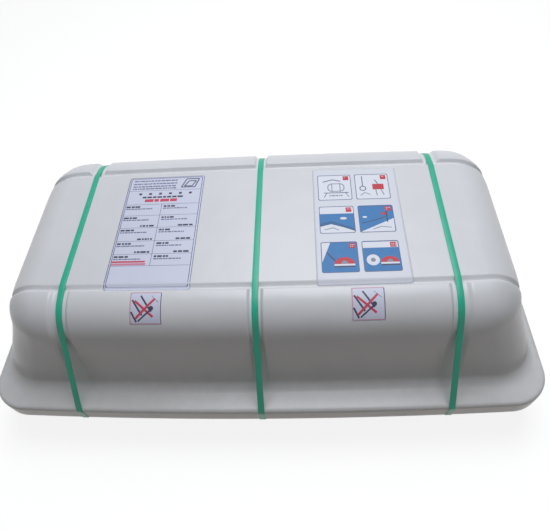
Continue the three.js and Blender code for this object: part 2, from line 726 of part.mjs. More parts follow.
// The gas cylinder lies along X in two foam cradles, with its valve at the right
function makeGasSystem() {
  const r = CYLINDER_RADIUS;
  const dome = 0.5 * r;
  const body = [[0, 0]];
  for (let i = 1; i <= 4; i++) {
    const angle = (Math.PI / 2) * (i / 4);
    body.push([r * Math.sin(angle), dome * (1 - Math.cos(angle))]);
  }
  const shoulder = CYLINDER_LENGTH - dome;
  const neckAngle = Math.acos(NECK_RADIUS / r);
  for (let i = 0; i <= 4; i++) {
    const angle = neckAngle * (i / 4);
    body.push([r * Math.cos(angle), shoulder + dome * Math.sin(angle)]);
  }
  const neckEnd = CYLINDER_LENGTH + NECK_LENGTH;
  body.push([NECK_RADIUS, neckEnd], [0, neckEnd]);
  const axisZ = KIT_Z + KIT_HEIGHT / 2;
  const tank = addPiece('gas_cylinder', lathe(body, 24), paintedSteel);
  tank.rotation.z = -Math.PI / 2;
  tank.position.set(CYLINDER_LEFT, CYLINDER_Y, axisZ);

  for (const [name, x] of [
    ['cylinder_cradle_left', CYLINDER_LEFT + dome + CRADLE_INSET],
    ['cylinder_cradle_right', CYLINDER_LEFT + shoulder - CRADLE_INSET],
  ]) {
    const block = new THREE.Shape();
    const w = CRADLE_WIDTH / 2;
    const h = KIT_HEIGHT / 2;
    block.moveTo(-w, -h).lineTo(w, -h).lineTo(w, h).lineTo(-w, h);
    const bore = new THREE.Path();
    bore.absarc(0, 0, (r + GAP) / Math.cos(Math.PI / 24), 0, 2 * Math.PI, false);
    block.holes.push(bore);
    const geometry = new THREE.ExtrudeGeometry(block, {
      depth: CRADLE_LENGTH, bevelEnabled: false, steps: 1, curveSegments: 24,
    });
    const cradle = addPiece(name, geometry, foam);
    cradle.rotation.set(Math.PI / 2, Math.PI / 2, 0);
    cradle.position.set(x - CRADLE_LENGTH / 2, CYLINDER_Y, axisZ);
  }

  const valveX = CYLINDER_LEFT + neckEnd + GAP;
  let valve = new THREE.CylinderGeometry(VALVE_RADIUS, VALVE_RADIUS, VALVE_LENGTH, ROUND);
  valve.rotateZ(Math.PI / 2);
  valve = toSolid(valve);
  for (const y of [-1, 1]) {
    const outlet = new THREE.CylinderGeometry(OUTLET_RADIUS, OUTLET_RADIUS, OUTLET_LENGTH * 2, 12);
    outlet.rotateZ(Math.PI / 2);
    outlet.translate(VALVE_LENGTH / 2, y * (VALVE_RADIUS - OUTLET_RADIUS - 2), 0);
    valve = valve.add(toSolid(outlet));
  }
  const valveBody = addPiece('cylinder_valve', toGeometry(valve), brass);
  valveBody.position.set(valveX + VALVE_LENGTH / 2, CYLINDER_Y, axisZ);
  const head = addPiece('firing_head', lathe([
    [0, 0], [VALVE_RADIUS * 0.6, 0], [VALVE_RADIUS * 0.6, 18], [VALVE_RADIUS * 0.45, 26],
    [0, 26],
  ]), brass);
  head.rotation.x = Math.PI / 2;
  head.position.set(valveX + VALVE_LENGTH / 2, CYLINDER_Y, axisZ + VALVE_RADIUS + GAP);

  const hoseX = valveX + VALVE_LENGTH + OUTLET_LENGTH + GAP;
  const inletX = hoseX + 100;
  const outletY = VALVE_RADIUS - OUTLET_RADIUS - 2;
  const rearY = CYLINDER_Y + outletY;
  const frontY = CYLINDER_Y - outletY;
  const inletZ = KIT_TOP - INLET_LENGTH;
  addInlet('inlet_valve_lower', inletX, rearY, inletZ);
  addHose('inflation_hose_lower', [
    [hoseX, rearY, axisZ], [hoseX + 30, rearY, axisZ], [inletX - 26, rearY, axisZ + 3],
    [inletX - 5, rearY, axisZ + 18], [inletX, rearY, inletZ - GAP - 16],
    [inletX, rearY, inletZ - GAP],
  ]);
  const sideY = -CORE_Y - TUBE_BEYOND_CORE - INLET_RADIUS - GAP;
  const sideZ = UPPER_TUBE_Z + (TUBE_HEIGHT - INLET_LENGTH) / 2;
  addInlet('inlet_valve_upper', inletX, sideY, sideZ);
  addHose('inflation_hose_upper', [
    [hoseX, frontY, axisZ], [hoseX + 26, frontY, axisZ], [inletX - 40, frontY - 26, axisZ + 4],
    [inletX - 8, frontY - 74, axisZ + 22], [inletX, sideY + 20, LOWER_TUBE_Z - 26],
    [inletX, sideY, LOWER_TUBE_Z + 12], [inletX, sideY, sideZ - GAP],
  ]);
}

function addInlet(name, x, y, z) {
  const r = INLET_RADIUS;
  const inlet = addPiece(name, lathe([
    [0, 0], [r * 0.6, 0], [r * 0.6, 8], [r, 8], [r, INLET_LENGTH], [0, INLET_LENGTH],
  ]), brass);
  inlet.rotation.x = Math.PI / 2;
  inlet.position.set(x, y, z);
}

function addHose(name, points) {
  const path = new THREE.CatmullRomCurve3(points.map((p) => new THREE.Vector3(...p)));
  const section = new THREE.Shape();
  section.absarc(0, 0, HOSE_RADIUS, 0, 2 * Math.PI, false);
  const geometry = new THREE.ExtrudeGeometry(section, {
    extrudePath: path, steps: 20, bevelEnabled: false, curveSegments: 8,
  });
  addPiece(name, geometry, hoseRubber);
}

// Two rolled sea anchors, one on the other, the foot bellows and the bags beside the cylinder
function makeFrontKit() {
  const radius = (KIT_HEIGHT - GAP) / 4;
  const drogueX = KIT_RIGHT - 2 * BELLOWS_RADIUS - KIT_GAP - radius;
  for (const [name, z] of [
    ['sea_anchor_bag_lower', KIT_Z + radius], ['sea_anchor_bag_upper', KIT_TOP - radius],
  ]) {
    const end = radius * 0.35;
    const half = DROGUE_LENGTH / 2;
    const roll = addPiece(name, lathe([
      [0, -half], [radius - end, -half], [radius, end - half], [radius, half - end],
      [radius - end, half], [0, half],
    ], 16), orangeFabric);
    roll.position.set(drogueX, CYLINDER_Y, z);
  }
  const profile = [[0, 0], [BELLOWS_RADIUS, 0], [BELLOWS_RADIUS, BELLOWS_END]];
  const pleat = (KIT_HEIGHT - 2 * BELLOWS_END) / BELLOWS_FOLDS;
  for (let i = 0; i < BELLOWS_FOLDS; i++) {
    const z = BELLOWS_END + i * pleat;
    profile.push([BELLOWS_RADIUS * 0.78, z + pleat * 0.1], [BELLOWS_RADIUS * 0.95, z + pleat * 0.5]);
  }
  profile.push([BELLOWS_RADIUS * 0.78, KIT_HEIGHT - BELLOWS_END - 1]);
  profile.push([BELLOWS_RADIUS, KIT_HEIGHT - BELLOWS_END], [BELLOWS_RADIUS, KIT_HEIGHT], [0, KIT_HEIGHT]);
  const bellows = addPiece('hand_bellows', lathe(profile), orangePlastic);
  bellows.rotation.x = Math.PI / 2;
  bellows.position.set(KIT_RIGHT - BELLOWS_RADIUS, CYLINDER_Y, KIT_Z);
}

// The paddle: a round shaft with a flat blade, joined into one solid
function paddleGeometry() {
  const shaftLength = PADDLE_LENGTH - BLADE_LENGTH + 30;
  const shaft = new THREE.CylinderGeometry(PADDLE_SHAFT, PADDLE_SHAFT, shaftLength, 12);
  shaft.rotateZ(Math.PI / 2);
  shaft.translate(shaftLength / 2, 0, 0);
  const blade = new THREE.ExtrudeGeometry(
    roundedOutline(BLADE_LENGTH / 2, BLADE_WIDTH / 2, 30),
    { depth: BLADE_THICKNESS, bevelEnabled: false, steps: 1, curveSegments: 4 },
  );
  blade.translate(PADDLE_LENGTH - BLADE_LENGTH / 2, 0, -BLADE_THICKNESS / 2);
  return toGeometry(toSolid(shaft).add(toSolid(blade)));
}

// Behind the cylinder: the painter line's bag, the emergency pack, two paddles and small gear
function makeRearKit() {
  const backY = CYLINDER_Y + CRADLE_WIDTH / 2 + KIT_GAP;
  const middleY = backY + PACK_WIDTH / 2;
  const height = KIT_HEIGHT - GAP;
  const lineBagX = -KIT_RIGHT + LINE_BAG_LENGTH / 2;
  const lineBag = addPiece('painter_line_bag',
    bagGeometry(LINE_BAG_LENGTH, PACK_WIDTH, height, BAG_ROUND), greyFabric);
  lineBag.position.set(lineBagX, middleY, KIT_Z);
  const packX = -KIT_RIGHT + LINE_BAG_LENGTH + KIT_GAP + PACK_LENGTH / 2;
  const pack = addPiece('emergency_pack',
    bagGeometry(PACK_LENGTH, PACK_WIDTH, height, BAG_ROUND), orangeFabric);
  pack.position.set(packX, middleY, KIT_Z);

  const paddleX = KIT_RIGHT - PADDLE_LENGTH;
  const paddleY = backY + BLADE_WIDTH / 2;
  const pitch = 2 * PADDLE_SHAFT + GAP;
  for (let i = 0; i < 2; i++) {
    const paddle = addPiece(`paddle_${i + 1}`, paddleGeometry(), wood);
    paddle.position.set(paddleX, paddleY, KIT_Z + PADDLE_SHAFT + i * pitch);
  }
  const aboveZ = KIT_Z + 2 * pitch;
  const quoitX = paddleX + QUOIT_RADIUS + QUOIT_SECTION + KIT_GAP;
  const ring = [];
  for (let i = 0; i <= 8; i++) {
    const angle = (2 * Math.PI * (i % 8)) / 8;
    ring.push([QUOIT_RADIUS + QUOIT_SECTION * Math.cos(angle), QUOIT_SECTION * Math.sin(angle)]);
  }
  const quoit = addPiece('rescue_quoit', lathe(ring), orangePlastic);
  quoit.rotation.x = Math.PI / 2;
  quoit.position.set(quoitX, paddleY, aboveZ + QUOIT_SECTION);
  const repairX = quoitX + QUOIT_RADIUS + QUOIT_SECTION + KIT_GAP + REPAIR_BAG.length / 2;
  const repair = addPiece('repair_kit_bag',
    bagGeometry(REPAIR_BAG.length, REPAIR_BAG.width, REPAIR_BAG.height, BAG_ROUND), greyFabric);
  repair.position.set(repairX, paddleY, aboveZ);
  const ladder = addPiece('boarding_ladder_roll', lathe([
    [0, 0], [LADDER_RADIUS, 0], [LADDER_RADIUS, LADDER_LENGTH], [0, LADDER_LENGTH],
  ], 16), greyFabric);
  ladder.rotation.z = -Math.PI / 2;
  const ladderX = repairX + REPAIR_BAG.length / 2 + KIT_GAP;
  ladder.position.set(ladderX, paddleY, aboveZ + LADDER_RADIUS);

  const stripY = backY + BLADE_WIDTH + KIT_GAP;
  makeKnife(paddleX, stripY + KNIFE.width / 2);
  const batteryX = paddleX + KNIFE.length + KIT_GAP + BATTERY.length / 2;
  const batteryY = stripY + BATTERY.width / 2;
  const battery = addPiece('lamp_battery',
    bagGeometry(BATTERY.length, BATTERY.width, BATTERY.height, 8), orangePlastic);
  battery.position.set(batteryX, batteryY, KIT_Z);
  const dome = [[0, 0], [LAMP_RADIUS, 0], [LAMP_RADIUS, LAMP_HEIGHT / 3]];
  for (let i = 1; i <= 4; i++) {
    const angle = (Math.PI / 2) * (i / 4);
    const rise = (LAMP_HEIGHT * 2) / 3;
    const across = i < 4 ? LAMP_RADIUS * Math.cos(angle) : 0;
    dome.push([across, LAMP_HEIGHT / 3 + rise * Math.sin(angle)]);
  }
  const lamp = addPiece('canopy_lamp', lathe(dome), lampPlastic);
  lamp.rotation.x = Math.PI / 2;
  lamp.position.set(batteryX, batteryY, KIT_Z + BATTERY.height + GAP);
}

// The blunt-ended safety knife: a thick handle with a thin blade
function makeKnife(x, y) {
  const { length, width, thickness, handle, blade } = KNIFE;
  const grip = new THREE.ExtrudeGeometry(roundedOutline(handle / 2, width / 2, 8), {
    depth: thickness, bevelEnabled: false, steps: 1, curveSegments: 3,
  });
  grip.translate(handle / 2, 0, 0);
  const steel = new THREE.BoxGeometry(length - handle + 10, width - 6, blade);
  steel.translate((length + handle - 10) / 2, 0, thickness / 2);
  const knife = addPiece('safety_knife', toGeometry(toSolid(grip).add(toSolid(steel))), orangePlastic);
  knife.position.set(x, y, KIT_Z);
}

makeShells();
makeSeal();
makeBand('strap_left', 'strap_clip_left', -BAND_X);
makeBand('strap_middle', 'strap_clip_middle', 0);
makeBand('strap_right', 'strap_clip_right', BAND_X);
makeTopLabel('data_label', DATA_LABEL);
makeTopLabel('instruction_label', PICTURE_LABEL);
makeHandlingLabel('handling_label_left', -HANDLING_X);
makeHandlingLabel('handling_label_right', HANDLING_X);
makeGland();
makeDrainPlug('drain_plug_left', -DRAIN_X);
makeDrainPlug('drain_plug_right', DRAIN_X);
makeRaft();
makeGasSystem();
makeFrontKit();
makeRearKit();

export default raft;
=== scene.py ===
"""Sizes are in millimetres in the container's frame, with the front towards -Y, unless a name or a
comment says metres. Each mesh is made in metres at its place."""

import json
import logging
import math
from dataclasses import dataclass, field
from enum import Enum

import bmesh
import bpy
import numpy as np
from mathutils import Matrix, Vector


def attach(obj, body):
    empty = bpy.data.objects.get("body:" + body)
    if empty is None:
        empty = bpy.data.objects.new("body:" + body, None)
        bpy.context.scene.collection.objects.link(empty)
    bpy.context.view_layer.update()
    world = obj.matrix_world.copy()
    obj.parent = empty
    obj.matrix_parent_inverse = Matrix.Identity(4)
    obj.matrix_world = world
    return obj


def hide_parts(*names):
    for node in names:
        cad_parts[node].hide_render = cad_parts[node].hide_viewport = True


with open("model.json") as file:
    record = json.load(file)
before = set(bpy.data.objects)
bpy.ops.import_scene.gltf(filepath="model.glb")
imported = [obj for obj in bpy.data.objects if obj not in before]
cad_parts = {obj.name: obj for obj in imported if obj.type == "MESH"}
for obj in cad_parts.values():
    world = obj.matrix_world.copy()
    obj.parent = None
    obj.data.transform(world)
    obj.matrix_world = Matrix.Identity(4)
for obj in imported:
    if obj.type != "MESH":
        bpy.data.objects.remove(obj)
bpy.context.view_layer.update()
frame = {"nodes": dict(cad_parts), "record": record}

log = logging.getLogger("raft")

MM = 0.001
GAP = 0.3
WALL = 5.0
GROOVE_CENTRES = (-470.0, 0.0, 470.0)
BAND_PLACES = {"left": -474.0, "middle": 0.0, "right": 474.0}
HANDLING_PLACES = {"left": -259.0, "right": 263.0}
SHARP_ANGLE = 35.0
WELD_METRES = 1e-6

# Numbers of the mix node's colour sockets, whose names its other sockets share
FIRST_COLOUR, SECOND_COLOUR, MIXED_COLOUR = 6, 7, 2


# Surfaces worked out with numpy

def smooth_step(t: np.ndarray) -> np.ndarray:
    """Rise from 0 to 1 over t = 0..1 with level ends: 3t^2 - 2t^3.

    Args:
        t: Position along the rise.

    Returns:
        The height of the rise.
    """
    c = np.clip(t, 0.0, 1.0)
    return c * c * (3.0 - 2.0 * c)


def grid_quads(rows: int, columns: int, closed: bool = False) -> np.ndarray:
    """List the four corners of each cell of a grid of points stored row by row.

    Args:
        rows: Number of rows of points.
        columns: Number of points in a row.
        closed: Whether each row runs round in a loop.

    Returns:
        Corner numbers, four to a cell, turning from the column direction to the row direction.
    """
    i = np.arange(rows - 1)[:, None]
    j = np.arange(columns if closed else columns - 1)[None, :]
    k = (j + 1) % columns
    corners = [i * columns + j, i * columns + k, (i + 1) * columns + k, (i + 1) * columns + j]
    return np.stack(corners, -1).reshape(-1, 4)


def bow(points: np.ndarray, rise: float = 13.0, edge: float = 408.0,
        span: float = 600.0) -> np.ndarray:
    """Bow the long sides outwards: y grows by the factor 1 + rise/edge * (1 - (x/span)^2).

    Args:
        points: Points in millimetres, the last axis holding x, y and z.
        rise: Growth of the flange's half-width half-way along.
        edge: Half-width of the flange before the bow.
        span: Distance from the middle where the growth is nothing.

    Returns:
        The moved points.
    """
    moved = np.array(points, dtype=float)
    moved[..., 1] *= 1.0 + rise / edge * (1.0 - (moved[..., 0] / span) ** 2)
    return moved


@dataclass
class MeshParts:
    """Points and faces of one piece, gathered patch by patch, in millimetres."""

    points: list[np.ndarray] = field(default_factory=list)
    faces: list[list[int]] = field(default_factory=list)
    slots: list[int] = field(default_factory=list)
    count: int = 0

    def add(self, points: np.ndarray, faces: np.ndarray | list[list[int]], slot: int = 0) -> None:
        """Add a patch.

        Args:
            points: The patch's points.
            faces: Its faces, numbered from its own first point.
            slot: Number of the material that it takes.
        """
        flat = np.asarray(points, dtype=float).reshape(-1, 3)
        listed = faces.tolist() if isinstance(faces, np.ndarray) else faces
        self.faces.extend([[i + self.count for i in face] for face in listed])
        self.slots.extend([slot] * len(listed))
        self.points.append(flat)
        self.count += len(flat)

    def make(self, name: str, materials: list[bpy.types.Material],
             sharp: float = SHARP_ANGLE, weld: bool = False) -> bpy.types.Object:
        """Turn the gathered patches into an object at the origin.

        Args:
            name: The piece's name.
            materials: Its materials, in the order of the slot numbers.
            sharp: Angle in degrees above which an edge stays sharp.
            weld: Whether equal points are merged, which also drops empty faces.

        Returns:
            The new object.
        """
        mesh = bpy.data.meshes.new(name)
        mesh.from_pydata((np.concatenate(self.points) * MM).tolist(), [], self.faces)
        mesh.polygons.foreach_set("material_index", self.slots)
        for material in materials:
            mesh.materials.append(material)
        if weld:
            soft = bmesh.new()
            soft.from_mesh(mesh)
            bmesh.ops.remove_doubles(soft, verts=soft.verts, dist=WELD_METRES)
            soft.to_mesh(mesh)
            soft.free()
        mesh.shade_smooth()
        mesh.set_sharp_from_angle(angle=math.radians(sharp))
        piece = bpy.data.objects.new(name, mesh)
        bpy.context.scene.collection.objects.link(piece)
        return piece


def dress(piece: bpy.types.Object, slot: str, *nodes: str) -> bpy.types.Object:
    """Put a piece on the root body and hide the CAD nodes it stands for.

    Args:
        piece: The finished piece.
        slot: The record's material slot; not used.
        nodes: CAD nodes that the piece replaces.

    Returns:
        The same piece.
    """
    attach(piece, "root")
    if nodes:
        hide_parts(*nodes)
    log.info("%s: %d faces", piece.name, len(piece.data.polygons))
    return piece


def carve(piece: bpy.types.Object, cutters: list[bpy.types.Object]) -> None:
    """Cut holes into a piece and delete the cutters.

    Args:
        piece: The piece to cut.
        cutters: Closed meshes of the holes.
    """
    for cutter in cutters:
        cut = piece.modifiers.new("hole", "BOOLEAN")
        cut.operation = "DIFFERENCE"
        cut.solver = "EXACT"
        cut.object = cutter
    graph = bpy.context.evaluated_depsgraph_get()
    done = bpy.data.meshes.new_from_object(piece.evaluated_get(graph))
    piece.modifiers.clear()
    old = piece.data
    piece.data = done
    bpy.data.meshes.remove(old)
    for cutter in cutters:
        bpy.data.objects.remove(cutter)
    piece.data.set_sharp_from_angle(angle=math.radians(SHARP_ANGLE))


# Finishes

def linear(hex_text: str) -> tuple[float, float, float, float]:
    """Turn an sRGB hex colour into a linear one.

    Args:
        hex_text: Colour as #rrggbb.

    Returns:
        Linear red, green, blue and alpha.
    """
    parts = [int(hex_text[i:i + 2], 16) / 255 for i in (1, 3, 5)]
    lin = [c / 12.92 if c <= 0.04045 else ((c + 0.055) / 1.055) ** 2.4 for c in parts]
    return lin[0], lin[1], lin[2], 1.0


def add_node(tree: bpy.types.NodeTree, kind: str, inputs: dict | None = None,
             **settings: object) -> bpy.types.Node:
    """Add a node with its settings, values and links.

    Args:
        tree: The node tree.
        kind: Blender's name of the node type.
        inputs: Value or output socket for each named input.
        settings: The node's own settings.

    Returns:
        The new node.
    """
    node = tree.nodes.new(kind)
    for key, value in settings.items():
        setattr(node, key, value)
    for key, value in (inputs or {}).items():
        if isinstance(value, bpy.types.NodeSocket):
            tree.links.new(value, node.inputs[key])
        else:
            node.inputs[key].default_value = value
    return node


def ramp(tree: bpy.types.NodeTree, factor: bpy.types.NodeSocket,
         stops: list[tuple[float, str]]) -> bpy.types.NodeSocket:
    """Turn a factor into a colour by stops.

    Args:
        tree: The node tree.
        factor: What drives the colour.
        stops: Positions and their hex colours.

    Returns:
        The colour output.
    """
    node = add_node(tree, "ShaderNodeValToRGB", {"Fac": factor})
    elements = node.color_ramp.elements
    while len(elements) < len(stops):
        elements.new(1.0)
    for element, (place, colour) in zip(elements, stops):
        element.position = place
        element.color = linear(colour)
    return node.outputs["Color"]


@dataclass(frozen=True)
class Finish:
    """A material with two mottled tones and a fine grain, which each real finish adds to. The
    plastics, paints and rubbers keep the shader's IOR of 1.5, which is near all of theirs."""

    name: str
    tone: str
    second: str
    roughness: float
    metallic: float = 0.0
    mottle_mm: float = 60.0
    mottle_range: tuple[float, float] = (0.35, 0.68)
    rough_spread: float = 0.15
    grain_mm: float = 6.0
    grain_height: float = 0.00002
    coat: float = 0.0
    sheen: float = 0.0

    def coordinates(self, tree: bpy.types.NodeTree) -> bpy.types.NodeSocket:
        """Give the coordinates that the finish's patterns follow: the piece's own place."""
        return add_node(tree, "ShaderNodeTexCoord").outputs["Object"]

    def height(self, tree: bpy.types.NodeTree,
               place: bpy.types.NodeSocket) -> bpy.types.NodeSocket:
        """Give the relief, from 0 to 1: here a plain noise of the grain's size."""
        grain = add_node(tree, "ShaderNodeTexNoise", {
            "Vector": place, "Scale": 1.0 / (self.grain_mm * MM), "Detail": 3.0})
        return grain.outputs["Fac"]

    def build(self) -> bpy.types.Material:
        """Make the material's nodes.

        Returns:
            The finished material.
        """
        material = bpy.data.materials.new(self.name)
        material.use_nodes = True
        tree = material.node_tree
        tree.nodes.clear()
        place = self.coordinates(tree)
        mottle = add_node(tree, "ShaderNodeTexNoise", {
            "Vector": place, "Scale": 1.0 / (self.mottle_mm * MM), "Detail": 4.0,
            "Roughness": 0.55})
        colour = ramp(tree, mottle.outputs["Fac"], [
            (self.mottle_range[0], self.tone), (self.mottle_range[1], self.second)])
        rough = add_node(tree, "ShaderNodeMapRange", {
            "Value": mottle.outputs["Fac"],
            "To Min": self.roughness * (1.0 - self.rough_spread),
            "To Max": min(1.0, self.roughness * (1.0 + self.rough_spread))})
        bump = add_node(tree, "ShaderNodeBump", {
            "Height": self.height(tree, place), "Distance": self.grain_height, "Strength": 1.0})
        shader = add_node(tree, "ShaderNodeBsdfPrincipled", {
            "Base Color": self.colour(tree, place, colour), "Roughness": rough.outputs["Result"],
            "Normal": bump.outputs["Normal"], "Metallic": self.metallic,
            "Coat Weight": self.coat, "Sheen Weight": self.sheen})
        add_node(tree, "ShaderNodeOutputMaterial", {"Surface": shader.outputs["BSDF"]})
        return material

    def colour(self, tree: bpy.types.NodeTree, place: bpy.types.NodeSocket,
               mottled: bpy.types.NodeSocket) -> bpy.types.NodeSocket:
        """Give the surface colour: here the two mottled tones as they are."""
        return mottled


@dataclass(frozen=True)
class Gelcoat(Finish):
    """Polyester gelcoat off a polished mould: smooth white with slow waves, and painted shade
    mixed with a little dust that darkens the surface towards the foot. Heights are in metres."""

    wave_mm: float = 70.0
    fine_share: float = 0.05
    foot_low: float = 0.05
    foot_top: float = 0.30
    # Painted shade with some dust: a darker warm grey mixed in towards the foot
    foot_shade_and_dust_tone: str = "#bdb7ad"
    patches_per_metre: float = 28.0

    def height(self, tree: bpy.types.NodeTree,
               place: bpy.types.NodeSocket) -> bpy.types.NodeSocket:
        """Add the fine fibre print to slow waves of the laminate, which carry most height.

        Args:
            tree: The node tree.
            place: The piece's own place.

        Returns:
            The height, near 0 to 1.
        """
        fine = add_node(tree, "ShaderNodeTexNoise", {
            "Vector": place, "Scale": 1.0 / (self.grain_mm * MM), "Detail": 2.0})
        slow = add_node(tree, "ShaderNodeTexNoise", {
            "Vector": place, "Scale": 1.0 / (self.wave_mm * MM), "Detail": 1.0})
        both = add_node(tree, "ShaderNodeMath", {
            0: fine.outputs["Fac"], 1: self.fine_share}, operation="MULTIPLY")
        total = add_node(tree, "ShaderNodeMath", {
            0: both.outputs["Value"], 1: slow.outputs["Fac"]}, operation="ADD")
        return total.outputs["Value"]

    def colour(self, tree: bpy.types.NodeTree, place: bpy.types.NodeSocket,
               mottled: bpy.types.NodeSocket) -> bpy.types.NodeSocket:
        """Tint the mottled white towards the foot tone, painted shade mixed with dust, in streaks
        that fade with height.

        Args:
            tree: The node tree.
            place: The piece's own place.
            mottled: The two mottled tones.

        Returns:
            The surface colour.
        """
        split = add_node(tree, "ShaderNodeSeparateXYZ", {"Vector": place})
        low = add_node(tree, "ShaderNodeMapRange", {
            "Value": split.outputs["Z"], "From Min": self.foot_low,
            "From Max": self.foot_top, "To Min": 1.0, "To Max": 0.0})
        patches = add_node(tree, "ShaderNodeTexNoise", {
            "Vector": place, "Scale": self.patches_per_metre, "Detail": 5.0, "Roughness": 0.7})
        # Painted shade with some dust: the foot tone's share grows lower down, in noisy streaks
        shade_and_dust = add_node(tree, "ShaderNodeMath", {
            0: low.outputs["Result"], 1: patches.outputs["Fac"]}, operation="MULTIPLY")
        mix = add_node(tree, "ShaderNodeMix", {
            "Factor": shade_and_dust.outputs["Value"], FIRST_COLOUR: mottled,
            SECOND_COLOUR: linear(self.foot_shade_and_dust_tone)}, data_type="RGBA")
        return mix.outputs[MIXED_COLOUR]


@dataclass(frozen=True)
class Strapping(Finish):
    """Extruded polyester strapping: glossy green with an embossed lattice. The lattice follows
    the band's own UV map, in metres, and is drawn at 3 mm where the real one has about 2 mm.
    The wave texture's bands lie 1 / 3.2 apart at a scale of 1."""

    lattice_mm: float = 3.0
    bands_per_unit: float = 3.2

    def coordinates(self, tree: bpy.types.NodeTree) -> bpy.types.NodeSocket:
        """Give the band's own map: length along, width across."""
        return add_node(tree, "ShaderNodeUVMap", uv_map="band").outputs["UV"]

    def height(self, tree: bpy.types.NodeTree,
               place: bpy.types.NodeSocket) -> bpy.types.NodeSocket:
        """Cross two sets of slanted ridges into a lattice of small diamonds.

        Args:
            tree: The node tree.
            place: The band's own map.

        Returns:
            The height, from 0 to 1.
        """
        ridges = []
        for turn in (math.pi / 4, -math.pi / 4):
            turned = add_node(tree, "ShaderNodeMapping", {
                "Vector": place, "Rotation": (0.0, 0.0, turn)})
            wave = add_node(tree, "ShaderNodeTexWave", {
                "Vector": turned.outputs["Vector"],
                "Scale": 1.0 / (self.lattice_mm * MM) / self.bands_per_unit},
                bands_direction="X")
            ridges.append(wave.outputs["Fac"])
        lattice = add_node(tree, "ShaderNodeMath", {0: ridges[0], 1: ridges[1]},
                           operation="MULTIPLY")
        return lattice.outputs["Value"]


@dataclass(frozen=True)
class Woven(Finish):
    """Cloth with threads in two directions, seen as crossed ridges, one for two threads. The
    wave texture's bands lie 2 / 6.28 apart at a scale of 1."""

    thread_mm: float = 1.2
    threads_per_unit: float = 6.28

    def height(self, tree: bpy.types.NodeTree,
               place: bpy.types.NodeSocket) -> bpy.types.NodeSocket:
        """Add ridges along X and ridges along Y.

        Args:
            tree: The node tree.
            place: The piece's own place.

        Returns:
            The height, from 0 to 2.
        """
        ridges = []
        for way in ("X", "Y"):
            wave = add_node(tree, "ShaderNodeTexWave", {
                "Vector": place,
                "Scale": 1.0 / (self.thread_mm * MM) / self.threads_per_unit},
                bands_direction=way)
            ridges.append(wave.outputs["Fac"])
        cloth = add_node(tree, "ShaderNodeMath", {0: ridges[0], 1: ridges[1]}, operation="ADD")
        return cloth.outputs["Value"]


@dataclass(frozen=True)
class Grained(Finish):
    """Wood or brushed metal: grain stretched along X."""

    stretch: float = 14.0

    def height(self, tree: bpy.types.NodeTree,
               place: bpy.types.NodeSocket) -> bpy.types.NodeSocket:
        """Squeeze a noise along X so that it draws long fibres.

        Args:
            tree: The node tree.
            place: The piece's own place.

        Returns:
            The height, from 0 to 1.
        """
        squeezed = add_node(tree, "ShaderNodeMapping", {
            "Vector": place, "Scale": (1.0 / self.stretch, 1.0, 1.0)})
        grain = add_node(tree, "ShaderNodeTexNoise", {
            "Vector": squeezed.outputs["Vector"], "Scale": 1.0 / (self.grain_mm * MM),
            "Detail": 4.0})
        return grain.outputs["Fac"]


# The container's own finishes.
# Gelcoat takes the mould's polish, so it is a soft-edged gloss with slow waves.
GELCOAT = Gelcoat("polyester_gelcoat_white", "#dcdddf", "#e0e1e3", 0.34, mottle_mm=160,
                  grain_mm=5, grain_height=0.0012)
# Strapping is drawn and rolled, so its face is glossier and its lattice breaks the highlight.
STRAPPING = Strapping("embossed_polyester_strapping_green", "#08b08c", "#0cb895", 0.30,
                      mottle_mm=45, grain_height=0.00025)
# Calendered vinyl is nearly flat and duller than the gelcoat, and its adhesive tints it lilac.
VINYL = Finish("printed_vinyl_film_lilac", "#d5d9ec", "#d9dcee", 0.42, mottle_mm=120,
               grain_mm=3, grain_height=0.00001)
CLEAR_VINYL = Finish("printed_vinyl_film_pale", "#dcdfe9", "#dfe2ea", 0.42, mottle_mm=120,
                     grain_mm=3, grain_height=0.00001)
# Moulded EPDM is matt, off-black and a little grainy.
EPDM = Finish("moulded_EPDM_rubber_black", "#26272a", "#303236", 0.72, mottle_mm=25,
              grain_mm=1.2, grain_height=0.00006)
# Zinc plate on rolled strip is a grey metal with faint lines along the strip.
ZINC = Grained("zinc_plated_steel", "#a6a9ab", "#b9bab6", 0.34, metallic=1.0, mottle_mm=9,
               grain_mm=1.0, grain_height=0.00004)

# Finishes of what lies inside, by material slot: coated and woven cloth is matt with a thread
# relief, moulded plastic and foam are plain, and enamel and varnish have a thin clear coat
INNER_FINISHES: dict[str, Finish] = {
    "raft_orange": Woven("coated_polyamide_cloth_orange", "#e35a24", "#ec6c33", 0.62,
                         grain_height=0.00012, sheen=0.15),
    "raft_black": Woven("rubber_coated_cloth_black", "#222428", "#2e3036", 0.7,
                        grain_height=0.00012),
    "bag_grey": Woven("woven_nylon_grey", "#878a8f", "#989b9f", 0.8, thread_mm=1.6,
                      grain_height=0.0002, sheen=0.2),
    "cylinder_red": Finish("enamelled_steel_red", "#8a261f", "#962f27", 0.36, metallic=0.1,
                           grain_mm=2, grain_height=0.00002, coat=0.3),
    "valve_brass": Grained("turned_brass", "#a98644", "#bb9a58", 0.32, metallic=1.0,
                           mottle_mm=12, grain_mm=0.8, grain_height=0.00004),
    "hose_rubber": Woven("braided_rubber_hose_black", "#2d3034", "#3b3e43", 0.58,
                         thread_mm=1.8, grain_height=0.00025),
    "foam_white": Finish("closed_cell_foam_white", "#d3d1ca", "#dddbd3", 0.9, mottle_mm=30,
                         grain_mm=1.6, grain_height=0.0003),
    "plastic_orange": Finish("moulded_polyethylene_orange", "#ea5f1b", "#f26b25", 0.48,
                             grain_mm=1.4, grain_height=0.00005),
    "paddle_wood": Grained("varnished_beech", "#ae8150", "#c29660", 0.45, mottle_mm=50,
                           grain_mm=3, grain_height=0.0001, coat=0.4),
    "lamp_clear": Finish("opal_polycarbonate", "#e6e1cf", "#ece8d9", 0.25, grain_mm=3,
                         grain_height=0.00002, coat=0.2),
    "seal_rubber": EPDM,
}


